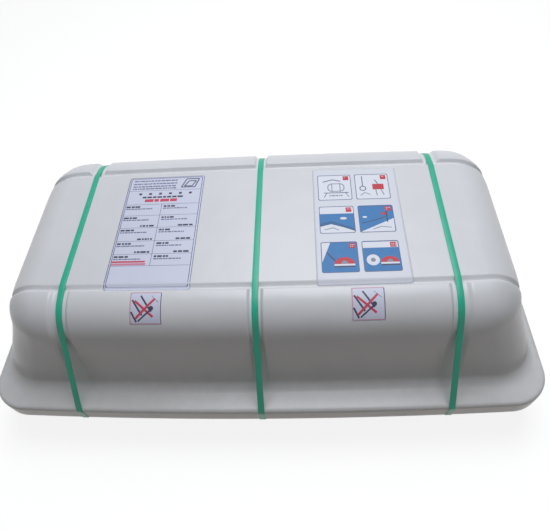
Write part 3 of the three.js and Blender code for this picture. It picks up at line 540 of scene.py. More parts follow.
class Ink(Enum):
    """Inks of the printed films, as their hex colours."""

    FRAME = "#5d6184"
    TEXT = "#6f7392"
    DARK = "#2c2f4a"
    RED = "#c9425f"
    PINK = "#d3829c"
    SIGNAL_RED = "#c02a3a"
    BLUE = "#2a76b4"
    DEEP_BLUE = "#1d5b8f"
    WHITE = "#e6e9f2"
    GREY = "#8b8f9f"

    def build(self) -> bpy.types.Material:
        """Make the screen-printing ink: flat colour with a slightly duller face than the film."""
        tone = self.value
        return Finish(f"screen_ink_{self.name.lower()}", tone, tone, 0.5, mottle_mm=15,
                      grain_mm=2, grain_height=0.00001).build()


# The two trays

@dataclass(frozen=True)
class Tray:
    """One moulded tray of the container. Its section runs from a core rectangle outwards: rolled
    border, drafted wall, concave fillet, level flange, rounded edge and turned-down skirt. The
    fields are lengths, but for the draft in degrees. Only a creased tray has creases, a crest,
    leaning ends and tucked corners, and a tuck's pair is where it starts and how far it runs."""

    core_x: float
    core_y: float
    top: float
    roll: float
    draft: float
    fillet: float
    flange: float
    edge_x: float
    edge_y: float
    edge_corner: float
    edge_round: float
    skirt: float
    creased: bool
    crease_y: float = 197.0
    crease_half: float = 11.0
    crease_depth: float = 8.0
    crease_inner: float = 14.0
    crease_outer: float = 10.0
    crest: float = 2.0
    groove_half: float = 20.0
    groove_ramp: float = 8.0
    outer_half: float = 33.0
    outer_ramp: float = 15.0
    groove_depth: float = 8.0
    fade_start: float = 15.0
    fade_height: float = 50.0
    lip: float = 1.2
    lip_bulge: float = 0.3
    groove_early: float = 0.8
    end_foot: tuple[float, float] = (146.0, 161.0)
    corner_foot: tuple[float, float] = (96.0, 88.0)
    pinch_from: float = 50.0
    corner_pinch: float = 0.2
    tuck: float = 15.0
    tuck_x: tuple[float, float] = (505.0, 110.0)
    tuck_y: tuple[float, float] = (150.0, 110.0)
    tuck_z: tuple[float, float] = (40.0, 120.0)
    roll_steps: int = 30
    roll_crowding: float = 1.4
    wall_steps: int = 6
    fillet_steps: int = 13
    flange_steps: int = 4
    edge_steps: int = 7
    skirt_steps: int = 3
    corner_steps: int = 25
    still_x: float = 500.0
    crowded_y: float = 4.0
    groove_columns: int = 25
    groove_past: float = 4.0
    far_columns: int = 6
    far_past: float = 3.0
    end_columns: int = 6
    end_space: float = 5.0
    wide_columns: int = 24
    wide_space: float = 38.0
    plain_rows: int = 25
    crease_rows: int = 28
    crease_lead: float = 5.0
    flat_rows: int = 9
    flat_space: float = 7.0

    def stations(self) -> np.ndarray:
        """Work out the section's stations.

        The roll and the fillet are arcs that end at the wall's draft, the wall and the flange
        are straight, and the edge is a quarter arc. The roll's stations crowd at its start,
        where the crease runs.

        Returns:
            One row a station: distance beyond the core on the sides and on the ends, plan corner
            radius, height, and the outward normal's part across and up.
        """
        end_turn = math.pi / 2 - math.radians(self.draft)
        turn = end_turn * np.linspace(0.0, 1.0, self.roll_steps) ** self.roll_crowding
        out = self.roll * np.sin(turn)
        high = self.top - self.roll + self.roll * np.cos(turn)
        rolled = np.stack([out, out, out, high, np.sin(turn), np.cos(turn)], 1)
        slope = math.tan(math.radians(self.draft))
        centre_z = self.flange + self.fillet
        start_z = centre_z - self.fillet * math.cos(end_turn)
        centre = out[-1] + (high[-1] - start_z) * slope + self.fillet * math.sin(end_turn)
        turn = np.linspace(end_turn, 0.0, self.fillet_steps)
        out = centre - self.fillet * np.sin(turn)
        high = centre_z - self.fillet * np.cos(turn)
        hollow = np.stack([out, out, out, high, np.sin(turn), np.cos(turn)], 1)
        if self.creased:
            # The ends lean out further than the sides, and the corners are tighter at the foot
            hollow[:, 1] = np.interp(out, [out[0], out[-1]], self.end_foot)
            hollow[:, 2] = np.interp(out, [out[0], out[-1]], self.corner_foot)
            past = np.clip(rolled[:, 0] - self.pinch_from, 0.0, None)
            rolled[:, 2] -= self.corner_pinch * past
        wall = self.between(rolled[-1], hollow[0], self.wall_steps)
        side, end = self.edge_y - self.core_y, self.edge_x - self.core_x
        steps = self.edge_steps if self.edge_round > 0 else 1
        turn = np.linspace(0.0, math.pi / 2, steps)
        back = self.edge_round * (1.0 - np.sin(turn))
        edge = np.stack([side - back, end - back, self.edge_corner - back,
                         self.flange - self.edge_round * (1.0 - np.cos(turn)),
                         np.sin(turn), np.cos(turn)], 1)
        flange = self.between(hollow[-1], edge[0], self.flange_steps)
        parts = [rolled, wall, hollow, flange, edge]
        if self.skirt < self.flange:
            foot = edge[-1].copy()
            foot[3] = self.skirt + self.lip
            rounding = foot.copy()
            rounding[:3] -= self.lip * self.lip_bulge
            rounding[3] = self.skirt + self.lip * self.lip_bulge
            last = foot.copy()
            last[:3] -= self.lip
            last[3] = self.skirt
            drop = self.between(edge[-1], foot, self.skirt_steps)
            parts += [drop, foot[None], rounding[None], last[None]]
        return np.concatenate(parts)

    @staticmethod
    def between(start: np.ndarray, end: np.ndarray, steps: int) -> np.ndarray:
        """Give evenly spaced stations between two, without those two."""
        t = np.linspace(0.0, 1.0, steps + 2)[1:-1, None]
        return start[None] * (1.0 - t) + end[None] * t

    def relief(self, x: np.ndarray, y: np.ndarray, z: np.ndarray,
               on_side: np.ndarray | bool) -> np.ndarray:
        """Work out how far the surface lies below the plain tray.

        The band grooves are flat-bottomed with smooth ramps, and the outer two reach further
        towards the ends. The creases are smooth valleys, longer on the panel's side, the panel
        between them lies lower by the crest, and all fade out above the flange.

        Args:
            x: Place along the container.
            y: Place across.
            z: Height of the station.
            on_side: Whether a point is on the panel or a long side, where grooves run.

        Returns:
            The depth along the section's normal.
        """
        fade = smooth_step((z - self.flange - self.fade_start) / self.fade_height)
        centres = np.array(GROOVE_CENTRES).reshape((-1,) + (1,) * np.ndim(x))
        offset = np.abs(np.asarray(x)[None] - centres).min(0)
        outer = np.abs(x) > GROOVE_CENTRES[-1]
        half = np.where(outer, self.outer_half, self.groove_half)
        soft = np.where(outer, self.outer_ramp, self.groove_ramp)
        shape = 1.0 - smooth_step((offset - half + soft) / soft)
        groove = self.groove_depth * shape * on_side
        if not self.creased:
            return groove * fade
        beyond = np.abs(y) - self.crease_y
        start = self.groove_early * self.crease_half
        groove = groove * smooth_step((beyond + start) / self.crease_half)
        reach = np.where(beyond < 0.0, self.crease_inner, self.crease_outer)
        crease = 1.0 - smooth_step(np.abs(beyond) / reach)
        panel = 1.0 - smooth_step((beyond + self.crease_half) / (2.0 * self.crease_half))
        return (np.maximum(groove, self.crease_depth * crease) + self.crest * panel) * fade

    def tucked(self, points: np.ndarray) -> np.ndarray:
        """Draw the four upper corners in: x and y both shrink by an equal part of the tuck,
        times smooth steps along x, y and the height above the flange.

        Args:
            points: Points in millimetres.

        Returns:
            The moved points.
        """
        if not self.creased:
            return points
        x, y, z = points[..., 0], points[..., 1], points[..., 2]
        pull = self.tuck / math.sqrt(2.0)
        for place, (start, run) in ((np.abs(x), self.tuck_x), (np.abs(y), self.tuck_y),
                                    (z - self.flange, self.tuck_z)):
            pull = pull * smooth_step((place - start) / run)
        return np.stack([x - np.sign(x) * pull, y - np.sign(y) * pull, z], -1)

    def columns(self) -> np.ndarray:
        """Give the places of the columns along a long side: close together at the grooves, and
        at the outer two grooves' far ramps, which reach further.

        Returns:
            The places, from the left end to the right one.
        """
        inner, outer = self.groove_half + self.groove_past, self.outer_half + self.far_past
        last = GROOVE_CENTRES[-1]
        near = np.linspace(-inner, inner, self.groove_columns)
        far = last + np.linspace(inner, outer, self.far_columns)[1:]
        end = np.linspace(last + outer + self.end_space, self.core_x, self.end_columns)
        grooves = [centre + near for centre in GROOVE_CENTRES]
        wide = [np.linspace(a + self.wide_space, b - self.wide_space, self.wide_columns)
                for a, b in zip(GROOVE_CENTRES, GROOVE_CENTRES[1:])]
        return np.sort(np.concatenate(grooves + wide + [far, -far, end, -end]))

    def rows(self) -> np.ndarray:
        """Give the places of the rows across: close together at the creases.

        Returns:
            The places, from front to back.
        """
        if not self.creased:
            return np.linspace(-self.core_y, self.core_y, self.plain_rows)
        start = self.crease_y - self.crease_inner - self.crease_lead
        near = np.linspace(start, self.core_y, self.crease_rows)
        flat = np.linspace(0.0, start - self.flat_space, self.flat_rows)
        half = np.concatenate([flat, near])
        return np.concatenate([-half[:0:-1], half])

    def ring(self, stations: np.ndarray) -> tuple[np.ndarray, ...]:
        """Lay each station round the plan: four sides and four corner arcs.

        Args:
            stations: The section's stations.

        Returns:
            x, y, the normal's x and y part, and whether a point is on a long side, each with
            one row a station and one column a point round the plan.
        """
        columns, rows = self.columns(), self.rows()
        half_x = (self.core_x + stations[:, 1])[:, None]
        half_y = (self.core_y + stations[:, 0])[:, None]
        corner = stations[:, 2][:, None]
        flat_x, flat_y = half_x - corner, half_y - corner

        def stretch(places: np.ndarray, fixed: float, core: float,
                    flat: np.ndarray) -> np.ndarray:
            """Stretch the places beyond a fixed one so that the last reaches the flat's end.

            Args:
                places: The places on the core's border.
                fixed: The place up to which nothing moves.
                core: The last place.
                flat: The flat's end at each station.

            Returns:
                The places, one row a station.
            """
            past = np.clip(np.abs(places)[None] - fixed, 0.0, None) / (core - fixed)
            inner = np.minimum(np.abs(places)[None], fixed)
            return np.sign(places)[None] * (inner + past * (flat - fixed))

        along = stretch(columns, self.still_x, self.core_x, flat_x)
        across = stretch(rows, self.core_y - self.crowded_y, self.core_y, flat_y)
        turn = np.linspace(0.0, math.pi / 2, self.corner_steps)[1:-1][None]
        one = np.ones_like(along)
        pieces = []

        def arc(centre_x: np.ndarray, centre_y: np.ndarray, start: float) -> None:
            """Add a corner's quarter arc.

            Args:
                centre_x: The arc's centre along, at each station.
                centre_y: Its centre across.
                start: The angle where it starts.
            """
            ux = np.cos(turn + start) * np.ones_like(corner)
            uy = np.sin(turn + start) * np.ones_like(corner)
            pieces.append((centre_x + corner * ux, centre_y + corner * uy, ux, uy, 0.0 * ux))

        wide = np.ones_like(across)
        pieces.append((along, -half_y * one, 0.0 * one, -one, one))
        arc(flat_x, -flat_y, -math.pi / 2)
        pieces.append((half_x * wide, across, wide, 0.0 * wide, 0.0 * wide))
        arc(flat_x, flat_y, 0.0)
        pieces.append((along[:, ::-1], half_y * one, 0.0 * one, one, one))
        arc(-flat_x, flat_y, math.pi / 2)
        pieces.append((-half_x * wide, across[:, ::-1], -wide, 0.0 * wide, 0.0 * wide))
        arc(-flat_x, -flat_y, math.pi)
        return tuple(np.concatenate(part, axis=1) for part in zip(*pieces))

    def parts(self) -> MeshParts:
        """Make the closed wall: outer and inner surface, each sunk by the relief along the
        section's normal and the inner one by the wall's thickness more, joined at the rim.

        Returns:
            The tray's patches.
        """
        stations = self.stations()
        x, y, ux, uy, side = self.ring(stations)
        z, across, up = (stations[:, i][:, None] for i in (3, 4, 5))
        columns, rows = self.columns(), self.rows()
        flat_x, flat_y = np.meshgrid(columns, rows)
        made = MeshParts()
        starts = []
        for depth in (0.0, WALL):
            sink = self.relief(x, y, z * np.ones_like(x), side) + depth
            ring = np.stack([x - sink * ux * across, y - sink * uy * across, z - sink * up], -1)
            sink = self.relief(flat_x, flat_y, self.top + 0.0 * flat_x, True) + depth
            patch = np.stack([flat_x, flat_y, self.top - sink], -1)
            ring_faces = grid_quads(*x.shape, closed=True)[:, ::-1]
            patch_faces = grid_quads(*flat_x.shape)
            if depth > 0.0:
                ring_faces, patch_faces = ring_faces[:, ::-1], patch_faces[:, ::-1]
            starts.append(made.count + (len(stations) - 1) * x.shape[1])
            made.add(self.tucked(bow(ring)), ring_faces)
            made.add(self.tucked(bow(patch)), patch_faces)
        i = np.arange(x.shape[1])
        j = (i + 1) % x.shape[1]
        rim = np.stack([starts[0] + i, starts[1] + i, starts[1] + j, starts[0] + j], 1)
        made.faces.extend(rim.tolist())
        made.slots.extend([0] * len(rim))
        return made

    def surface(self, u: np.ndarray, v: np.ndarray) -> np.ndarray:
        """Find the bowed top surface from two parameters: u along X, v across. Up to the core's
        border v is y, and beyond it v runs on as arc length round the roll.

        Args:
            u: Place along.
            v: Place across.

        Returns:
            Points of the surface.
        """
        angle = np.clip(np.abs(v) - self.core_y, 0.0, None) / self.roll
        y = np.sign(v) * (np.minimum(np.abs(v), self.core_y) + self.roll * np.sin(angle))
        z = self.top - self.roll * (1.0 - np.cos(angle)) - self.relief(
            u, v, self.top + 0.0 * u, True)
        return bow(np.stack([u, y, z], -1))

    def lay(self, u: np.ndarray, v: np.ndarray, lift: float) -> np.ndarray:
        """Lay points on the top surface, lifted along its normal, which is the cross product of
        the surface's slopes along u and v.

        Args:
            u: Place along.
            v: Place across.
            lift: Distance above the surface.

        Returns:
            The points.
        """
        step = 0.5
        along = self.surface(u + step, v) - self.surface(u - step, v)
        across = self.surface(u, v + step) - self.surface(u, v - step)
        normal = np.cross(along, across)
        normal /= np.linalg.norm(normal, axis=-1, keepdims=True)
        return self.surface(u, v) + lift * normal


UPPER = Tray(core_x=545, core_y=200, top=411, roll=103, draft=13, fillet=27, flange=162,
             edge_x=724, edge_y=408, edge_corner=90, edge_round=10, skirt=112, creased=True)

# The seal lies between the flanges, and the lower flange fits inside the upper one's skirt
SEAL_HEIGHT = 6.0
RIM_CLEARANCE = 3.0
RIM_INSET = WALL + RIM_CLEARANCE
LOWER_FLANGE = UPPER.flange - 2 * WALL - 2 * GAP - SEAL_HEIGHT

# The lower tray is worked out upside down and turned over when it is built, and has no skirt
LOWER = Tray(core_x=565, core_y=210, top=0, roll=60, draft=6, fillet=20, flange=-LOWER_FLANGE,
             edge_x=UPPER.edge_x - RIM_INSET, edge_y=UPPER.edge_y - RIM_INSET,
             edge_corner=UPPER.edge_corner - RIM_INSET, edge_round=0, skirt=-LOWER_FLANGE,
             creased=False)


def turned_profile(profile: list[tuple[float, float]], place: Matrix,
                   steps: int = 64) -> MeshParts:
    """Turn a profile of radius and height round its axis: x = r cos a, y = r sin a, z = height.

    Args:
        profile: Radii and heights in millimetres, from the bottom up the outside.
        place: Where the turned shape stands, in millimetres.
        steps: Points round the axis.

    Returns:
        The shape's patches.
    """
    r, h = np.array(profile, dtype=float).T
    a = np.linspace(0.0, 2.0 * math.pi, steps, endpoint=False)
    points = np.stack([r[:, None] * np.cos(a), r[:, None] * np.sin(a),
                       h[:, None] * np.ones_like(a)], -1)
    turn = np.array(place)
    moved = points @ turn[:3, :3].T + turn[:3, 3]
    made = MeshParts()
    made.add(moved, grid_quads(len(r), steps, closed=True))
    return made


def rounded_profile(corners: list[tuple[float, float, float]],
                    steps: int = 4) -> list[tuple[float, float]]:
    """Round a profile's corners: each corner becomes a curve from its one side to its other, by
    the quadratic blend of the two tangent points and the corner.

    Args:
        corners: Radius, height and rounding of each corner.
        steps: Points on each rounding.

    Returns:
        The profile's points.
    """
    made: list[tuple[float, float]] = []
    t = np.linspace(0.0, 1.0, steps + 1)[:, None]
    for i, (r, h, size) in enumerate(corners):
        here = np.array([r, h])
        if size <= 0 or i in (0, len(corners) - 1):
            made.append((r, h))
            continue
        before = np.array(corners[i - 1][:2]) - here
        after = np.array(corners[i + 1][:2]) - here
        start = here + before / np.linalg.norm(before) * size
        end = here + after / np.linalg.norm(after) * size
        points = (1 - t) ** 2 * start + 2 * t * (1 - t) * here + t * t * end
        made += [(float(a), float(b)) for a, b in points]
    return made


@dataclass
class Container:
    """The two moulded trays, the gland and the drain plugs. Holes, bores, lips and heads are
    radii, and the heads' heights stand on the wall's faces."""

    gland_z: float = 100.0
    gland_hole: float = 14.0
    gland_bore: float = 7.0
    gland_head: float = 23.0
    gland_inner_head: float = 19.0
    gland_lip: float = 11.0
    gland_height: float = 5.0
    gland_sink: float = 1.8
    drain_x: float = 530.0
    drain_hole: float = 7.0
    drain_head: float = 11.0
    drain_height: float = 2.0
    drain_rise: float = 1.8
    drain_slot: float = 3.0

    def gland_place(self) -> Matrix:
        """Stand the gland's axis square on the left end wall, at the wall's distance there.

        Returns:
            The gland's place, with its axis pointing out.
        """
        lean = math.radians(LOWER.draft)
        roll_out = LOWER.roll * math.cos(lean)
        roll_z = LOWER.roll * (1.0 - math.sin(lean))
        wall = LOWER.core_x + roll_out + (self.gland_z - roll_z) * math.tan(lean)
        axis = Vector((-math.cos(lean), 0.0, -math.sin(lean)))
        turn = Vector((0.0, 0.0, 1.0)).rotation_difference(axis).to_matrix().to_4x4()
        return Matrix.Translation((-wall, 0.0, self.gland_z)) @ turn

    def hole(self, radius: float, place: Matrix) -> bpy.types.Object:
        """Make a closed cylinder for cutting a hole, well longer than the wall each way."""
        deep = 4.0 * WALL
        parts = turned_profile([(0, -deep), (radius, -deep), (radius, deep), (0, deep)], place)
        return parts.make("hole_cutter", [], weld=True)

    def build(self) -> None:
        """Make both trays, cut the lower one's holes, and fill them."""
        gelcoat, rubber = GELCOAT.build(), EPDM.build()
        dress(UPPER.parts().make("upper_tray", [gelcoat], weld=True), "gelcoat", "upper_shell")
        parts = LOWER.parts()
        parts.points = [p * np.array([1.0, -1.0, -1.0]) for p in parts.points]
        lower = parts.make("lower_tray", [gelcoat], weld=True)
        flat = [Matrix.Translation((side * self.drain_x, 0.0, 0.0)) for side in (-1, 1)]
        carve(lower, [self.hole(self.gland_hole, self.gland_place())]
              + [self.hole(self.drain_hole, place) for place in flat])
        dress(lower, "gelcoat", "lower_shell")
        self.build_gland(rubber)
        self.build_plugs(rubber, flat)

    def build_gland(self, rubber: bpy.types.Material) -> None:
        """Make the gland: a neck in the wall's hole between two heads, with a bore for the rope
        and a raised lip round it.

        Args:
            rubber: Its material.
        """
        bore, lip, head = self.gland_bore, self.gland_lip, self.gland_inner_head
        neck, inner, outer = self.gland_hole - GAP, -WALL - GAP, GAP
        back, front = inner - self.gland_height, outer + self.gland_height
        seat = front - self.gland_sink
        profile = rounded_profile([
            (bore, back, 0), (head, back, 1.2), (head, inner, 0.4), (neck, inner, 0.4),
            (neck, outer, 0.4), (self.gland_head, outer, 0.4),
            (self.gland_head - 2, front, 2.2), (lip + 2, front, 1.0), (lip, seat, 1.0),
            (bore, seat, 1.0), (bore, back, 0)])
        gland = turned_profile(profile, self.gland_place())
        dress(gland.make("rope_gland", [rubber], weld=True), "seal_rubber", "painter_gland")

    def build_plugs(self, rubber: bpy.types.Material, places: list[Matrix]) -> None:
        """Make the drain plugs: a stem in the floor's hole with a dished foot, and a head on the
        floor's inner face.

        Args:
            rubber: Their material.
            places: The left and the right plug's place.
        """
        stem, seat = self.drain_hole - GAP, WALL + GAP
        rise, foot, top = self.drain_rise, self.drain_rise - 1.0, seat + self.drain_height
        dish = stem - self.drain_slot
        profile = rounded_profile([
            (0, rise, 0), (dish, rise, 0.5), (dish + 0.6, foot, 0.3), (stem, foot, 0.4),
            (stem, seat, 0.3), (self.drain_head, seat, 0.3), (self.drain_head, top, 0.8),
            (0, top, 0)])
        for side, place in zip(("left", "right"), places):
            plug = turned_profile(profile, place, steps=48)
            dress(plug.make(f"drain_stopper_{side}", [rubber], weld=True), "seal_rubber",
                  f"drain_plug_{side}")


# Bands and clips

@dataclass(frozen=True)
class Band:
    """One taut strapping band with its crimped clip. The tail's start is a share of the rear
    span, the crimps' places are shares of the clip's length from its middle, and the step and
    the sharp angle are in degrees."""

    name: str
    x: float
    width: float = 16.0
    thickness: float = 1.0
    lift: float = 0.15
    step: float = 1.5
    edge_radius: float = 0.35
    overlap_gap: float = 0.12
    tail_start: float = 0.25
    tail_length: float = 70.0
    tail_steps: int = 8
    clip_length: float = 32.0
    clip_wall: float = 0.8
    clip_slit: float = 4.0
    clip_side_room: float = 0.3
    clip_height_room: float = 0.75
    clip_radius: float = 0.6
    crimp_places: tuple[float, float] = (-0.24, 0.24)
    crimp_half: float = 0.07
    crimp_reach: float = 2.4
    crimp_depth: float = 0.7
    crimp_drop: float = 0.18
    sharp_angle: float = 50.0

    def contacts(self) -> tuple[np.ndarray, np.ndarray]:
        """Find where the taut band turns: in each direction it touches whichever disc of the
        section reaches furthest that way (place . direction + radius is greatest).

        Returns:
            The discs' centres and radii, and the outward directions, in order round the section.
        """
        tray, base = UPPER, LOWER
        half = [
            (tray.crease_y - tray.crease_half, tray.top - tray.crest, 0.0),
            (tray.core_y, tray.top - tray.roll, tray.roll - tray.groove_depth),
            (tray.edge_y - tray.edge_round, tray.flange - tray.edge_round, tray.edge_round),
            (tray.edge_y, tray.skirt, 0.0),
            (base.core_y, base.roll, base.roll - base.groove_depth),
        ]
        discs = np.array(half + [(-y, z, r) for y, z, r in half])
        turn = np.radians(np.arange(0.0, 360.0, self.step) + self.step / 2)
        ways = np.stack([np.cos(turn), np.sin(turn)], 1)
        reach = ways @ discs[:, :2].T + discs[:, 2]
        best = reach.argmax(1)
        before, after = np.roll(best, 1), np.roll(best, -1)
        kept = (discs[best, 2] > 0) | (best != before) | (best != after)
        return discs[best[kept]], ways[kept]

    def rear_span(self) -> tuple[np.ndarray, np.ndarray, np.ndarray, float, int]:
        """Find the straight stretch behind the container, from the flange up to the bolster.

        Returns:
            Its low end, direction and outward normal, its length, and the number of the first
            contact above it.
        """
        discs, ways = self.contacts()
        first = int(np.argmax(discs[:, 0] == UPPER.core_y))
        low = discs[first - 1, :2] + discs[first - 1, 2] * ways[first - 1]
        high = discs[first, :2] + discs[first, 2] * ways[first]
        length = float(np.linalg.norm(high - low))
        along = (high - low) / length
        return low, along, np.array([along[1], -along[0]]), length, first

    def path(self) -> tuple[np.ndarray, np.ndarray]:
        """Lay the band's underside: from its start on the rear span once round the container,
        and on over its own start.

        Returns:
            Points (y, z) and outward normals along the band.
        """
        discs, ways = self.contacts()
        low, along, normal, length, first = self.rear_span()
        order = np.roll(np.arange(len(discs)), -first)
        points = discs[order, :2] + (discs[order, 2:] + self.lift) * ways[order]
        start = low + along * self.tail_start * length + normal * self.lift
        over = normal * (self.thickness + self.overlap_gap)
        tail = np.linspace(0.0, self.tail_length, self.tail_steps)[:, None]
        points = np.concatenate([start[None], points, start + over + along * tail])
        ends = np.repeat(normal[None], self.tail_steps, 0)
        normals = np.concatenate([normal[None], ways[order], ends])
        return points, normals

    def build(self, strapping: bpy.types.Material, zinc: bpy.types.Material) -> None:
        """Make the band and its clip.

        Args:
            strapping: The band's material.
            zinc: The clip's material.
        """
        points, normals = self.path()
        half, r = self.width / 2, self.edge_radius
        turn = np.linspace(0.0, math.pi / 2, 3)
        corner = [(half - r, self.thickness - r, 0.0), (r - half, self.thickness - r, 90.0),
                  (r - half, r, 180.0), (half - r, r, 270.0)]
        section = np.array([(cx + r * math.cos(t + math.radians(a)),
                             cy + r * math.sin(t + math.radians(a)))
                            for cx, cy, a in corner for t in turn])
        across, out = section[:, 0], section[:, 1]
        yz = points[:, None] + out[None, :, None] * normals[:, None]
        place = np.concatenate([np.broadcast_to(self.x + across[None, :, None],
                                                yz.shape[:2] + (1,)), yz], -1)
        made = MeshParts()
        made.add(bow(place), grid_quads(len(points), len(section), closed=True)[:, ::-1])
        count = len(section)
        last = (len(points) - 1) * count
        made.faces += [list(range(count)), [last + i for i in range(count)][::-1]]
        made.slots += [0, 0]
        band = made.make(f"green_band_{self.name}", [strapping], sharp=self.sharp_angle)
        run = np.concatenate([[0.0], np.cumsum(np.linalg.norm(np.diff(points, axis=0),
                                                              axis=1))]) * MM
        flat = np.stack([np.repeat(run, count), np.tile(across * MM, len(points))], 1)
        layer = band.data.uv_layers.new(name="band")
        corners = np.zeros(len(band.data.loops), dtype=np.int32)
        band.data.loops.foreach_get("vertex_index", corners)
        layer.data.foreach_set("uv", flat[corners].ravel())
        dress(band, "band_green", f"strap_{self.name}")
        self.build_clip(zinc)

    def clip_half_width(self) -> float:
        """Give the half-width of the clip's inner face."""
        return self.width / 2 + self.clip_side_room

    def clip_outline(self, grow: float) -> np.ndarray:
        """Give the clip's outline across the band: from one side of the slit round to the other.

        Args:
            grow: Distance outwards from the inner face.

        Returns:
            The outline's points: across the band and away from the container.
        """
        w, h = self.clip_half_width(), 2 * self.thickness + self.clip_height_room
        slit, r = self.clip_slit / 2, self.clip_radius
        turn = np.linspace(0.0, math.pi / 2, 5)
        points = [np.array([[slit, -grow]])]
        for cx, cy, a in ((w - r, r, -90.0), (w - r, h - r, 0.0), (r - w, h - r, 90.0),
                          (r - w, r, 180.0)):
            angles = turn + math.radians(a)
            points.append(np.stack([cx + (r + grow) * np.cos(angles),
                                    cy + (r + grow) * np.sin(angles)], 1))
        return np.concatenate(points + [np.array([[-slit, -grow]])])

    def build_clip(self, zinc: bpy.types.Material) -> None:
        """Wrap the clip round both layers of the band: a C-shaped sheet with rounded corners,
        whose sides are pinched in by two pairs of crimps, each a cosine-shaped notch.

        Args:
            zinc: The clip's material.
        """
        low, along, normal, length, _ = self.rear_span()
        centre = low + along * (self.tail_start * length + self.tail_length / 2)
        ring = np.concatenate([self.clip_outline(self.clip_wall), self.clip_outline(0.0)[::-1]])
        t = np.linspace(-0.5, 0.5, 41)
        notch = np.zeros_like(t)
        for middle in self.crimp_places:
            from_middle = (t - middle) / self.crimp_half
            notch += np.where(np.abs(from_middle) < 1.0,
                              0.5 + 0.5 * np.cos(from_middle * math.pi), 0.0)
        inside = self.clip_half_width() - self.crimp_reach
        side = np.clip((np.abs(ring[:, 0]) - inside) / self.crimp_reach, 0.0, 1.0)
        pinch = notch[:, None] * side
        across = ring[None, :, 0] - np.sign(ring[None, :, 0]) * self.crimp_depth * pinch
        lift = ring[None, :, 1] * (1.0 - self.crimp_drop * pinch)
        yz = (centre[None, None] + along[None, None] * (t * self.clip_length)[:, None, None]
              + lift[..., None] * normal)
        place = np.concatenate([(self.x + across)[..., None], yz], -1)
        made = MeshParts()
        made.add(bow(place), grid_quads(len(t), len(ring), closed=True))
        count = len(ring)
        half = count // 2
        i = np.arange(half - 1)
        cap = np.stack([i, i + 1, count - 2 - i, count - 1 - i], 1)
        last = (len(t) - 1) * count
        made.faces += cap[:, ::-1].tolist() + (cap + last).tolist()
        made.slots += [0] * (2 * len(cap))
        clip = made.make(f"crimped_clip_{self.name}", [zinc])
        dress(clip, "clip_steel", f"strap_clip_{self.name}")


# Printed films

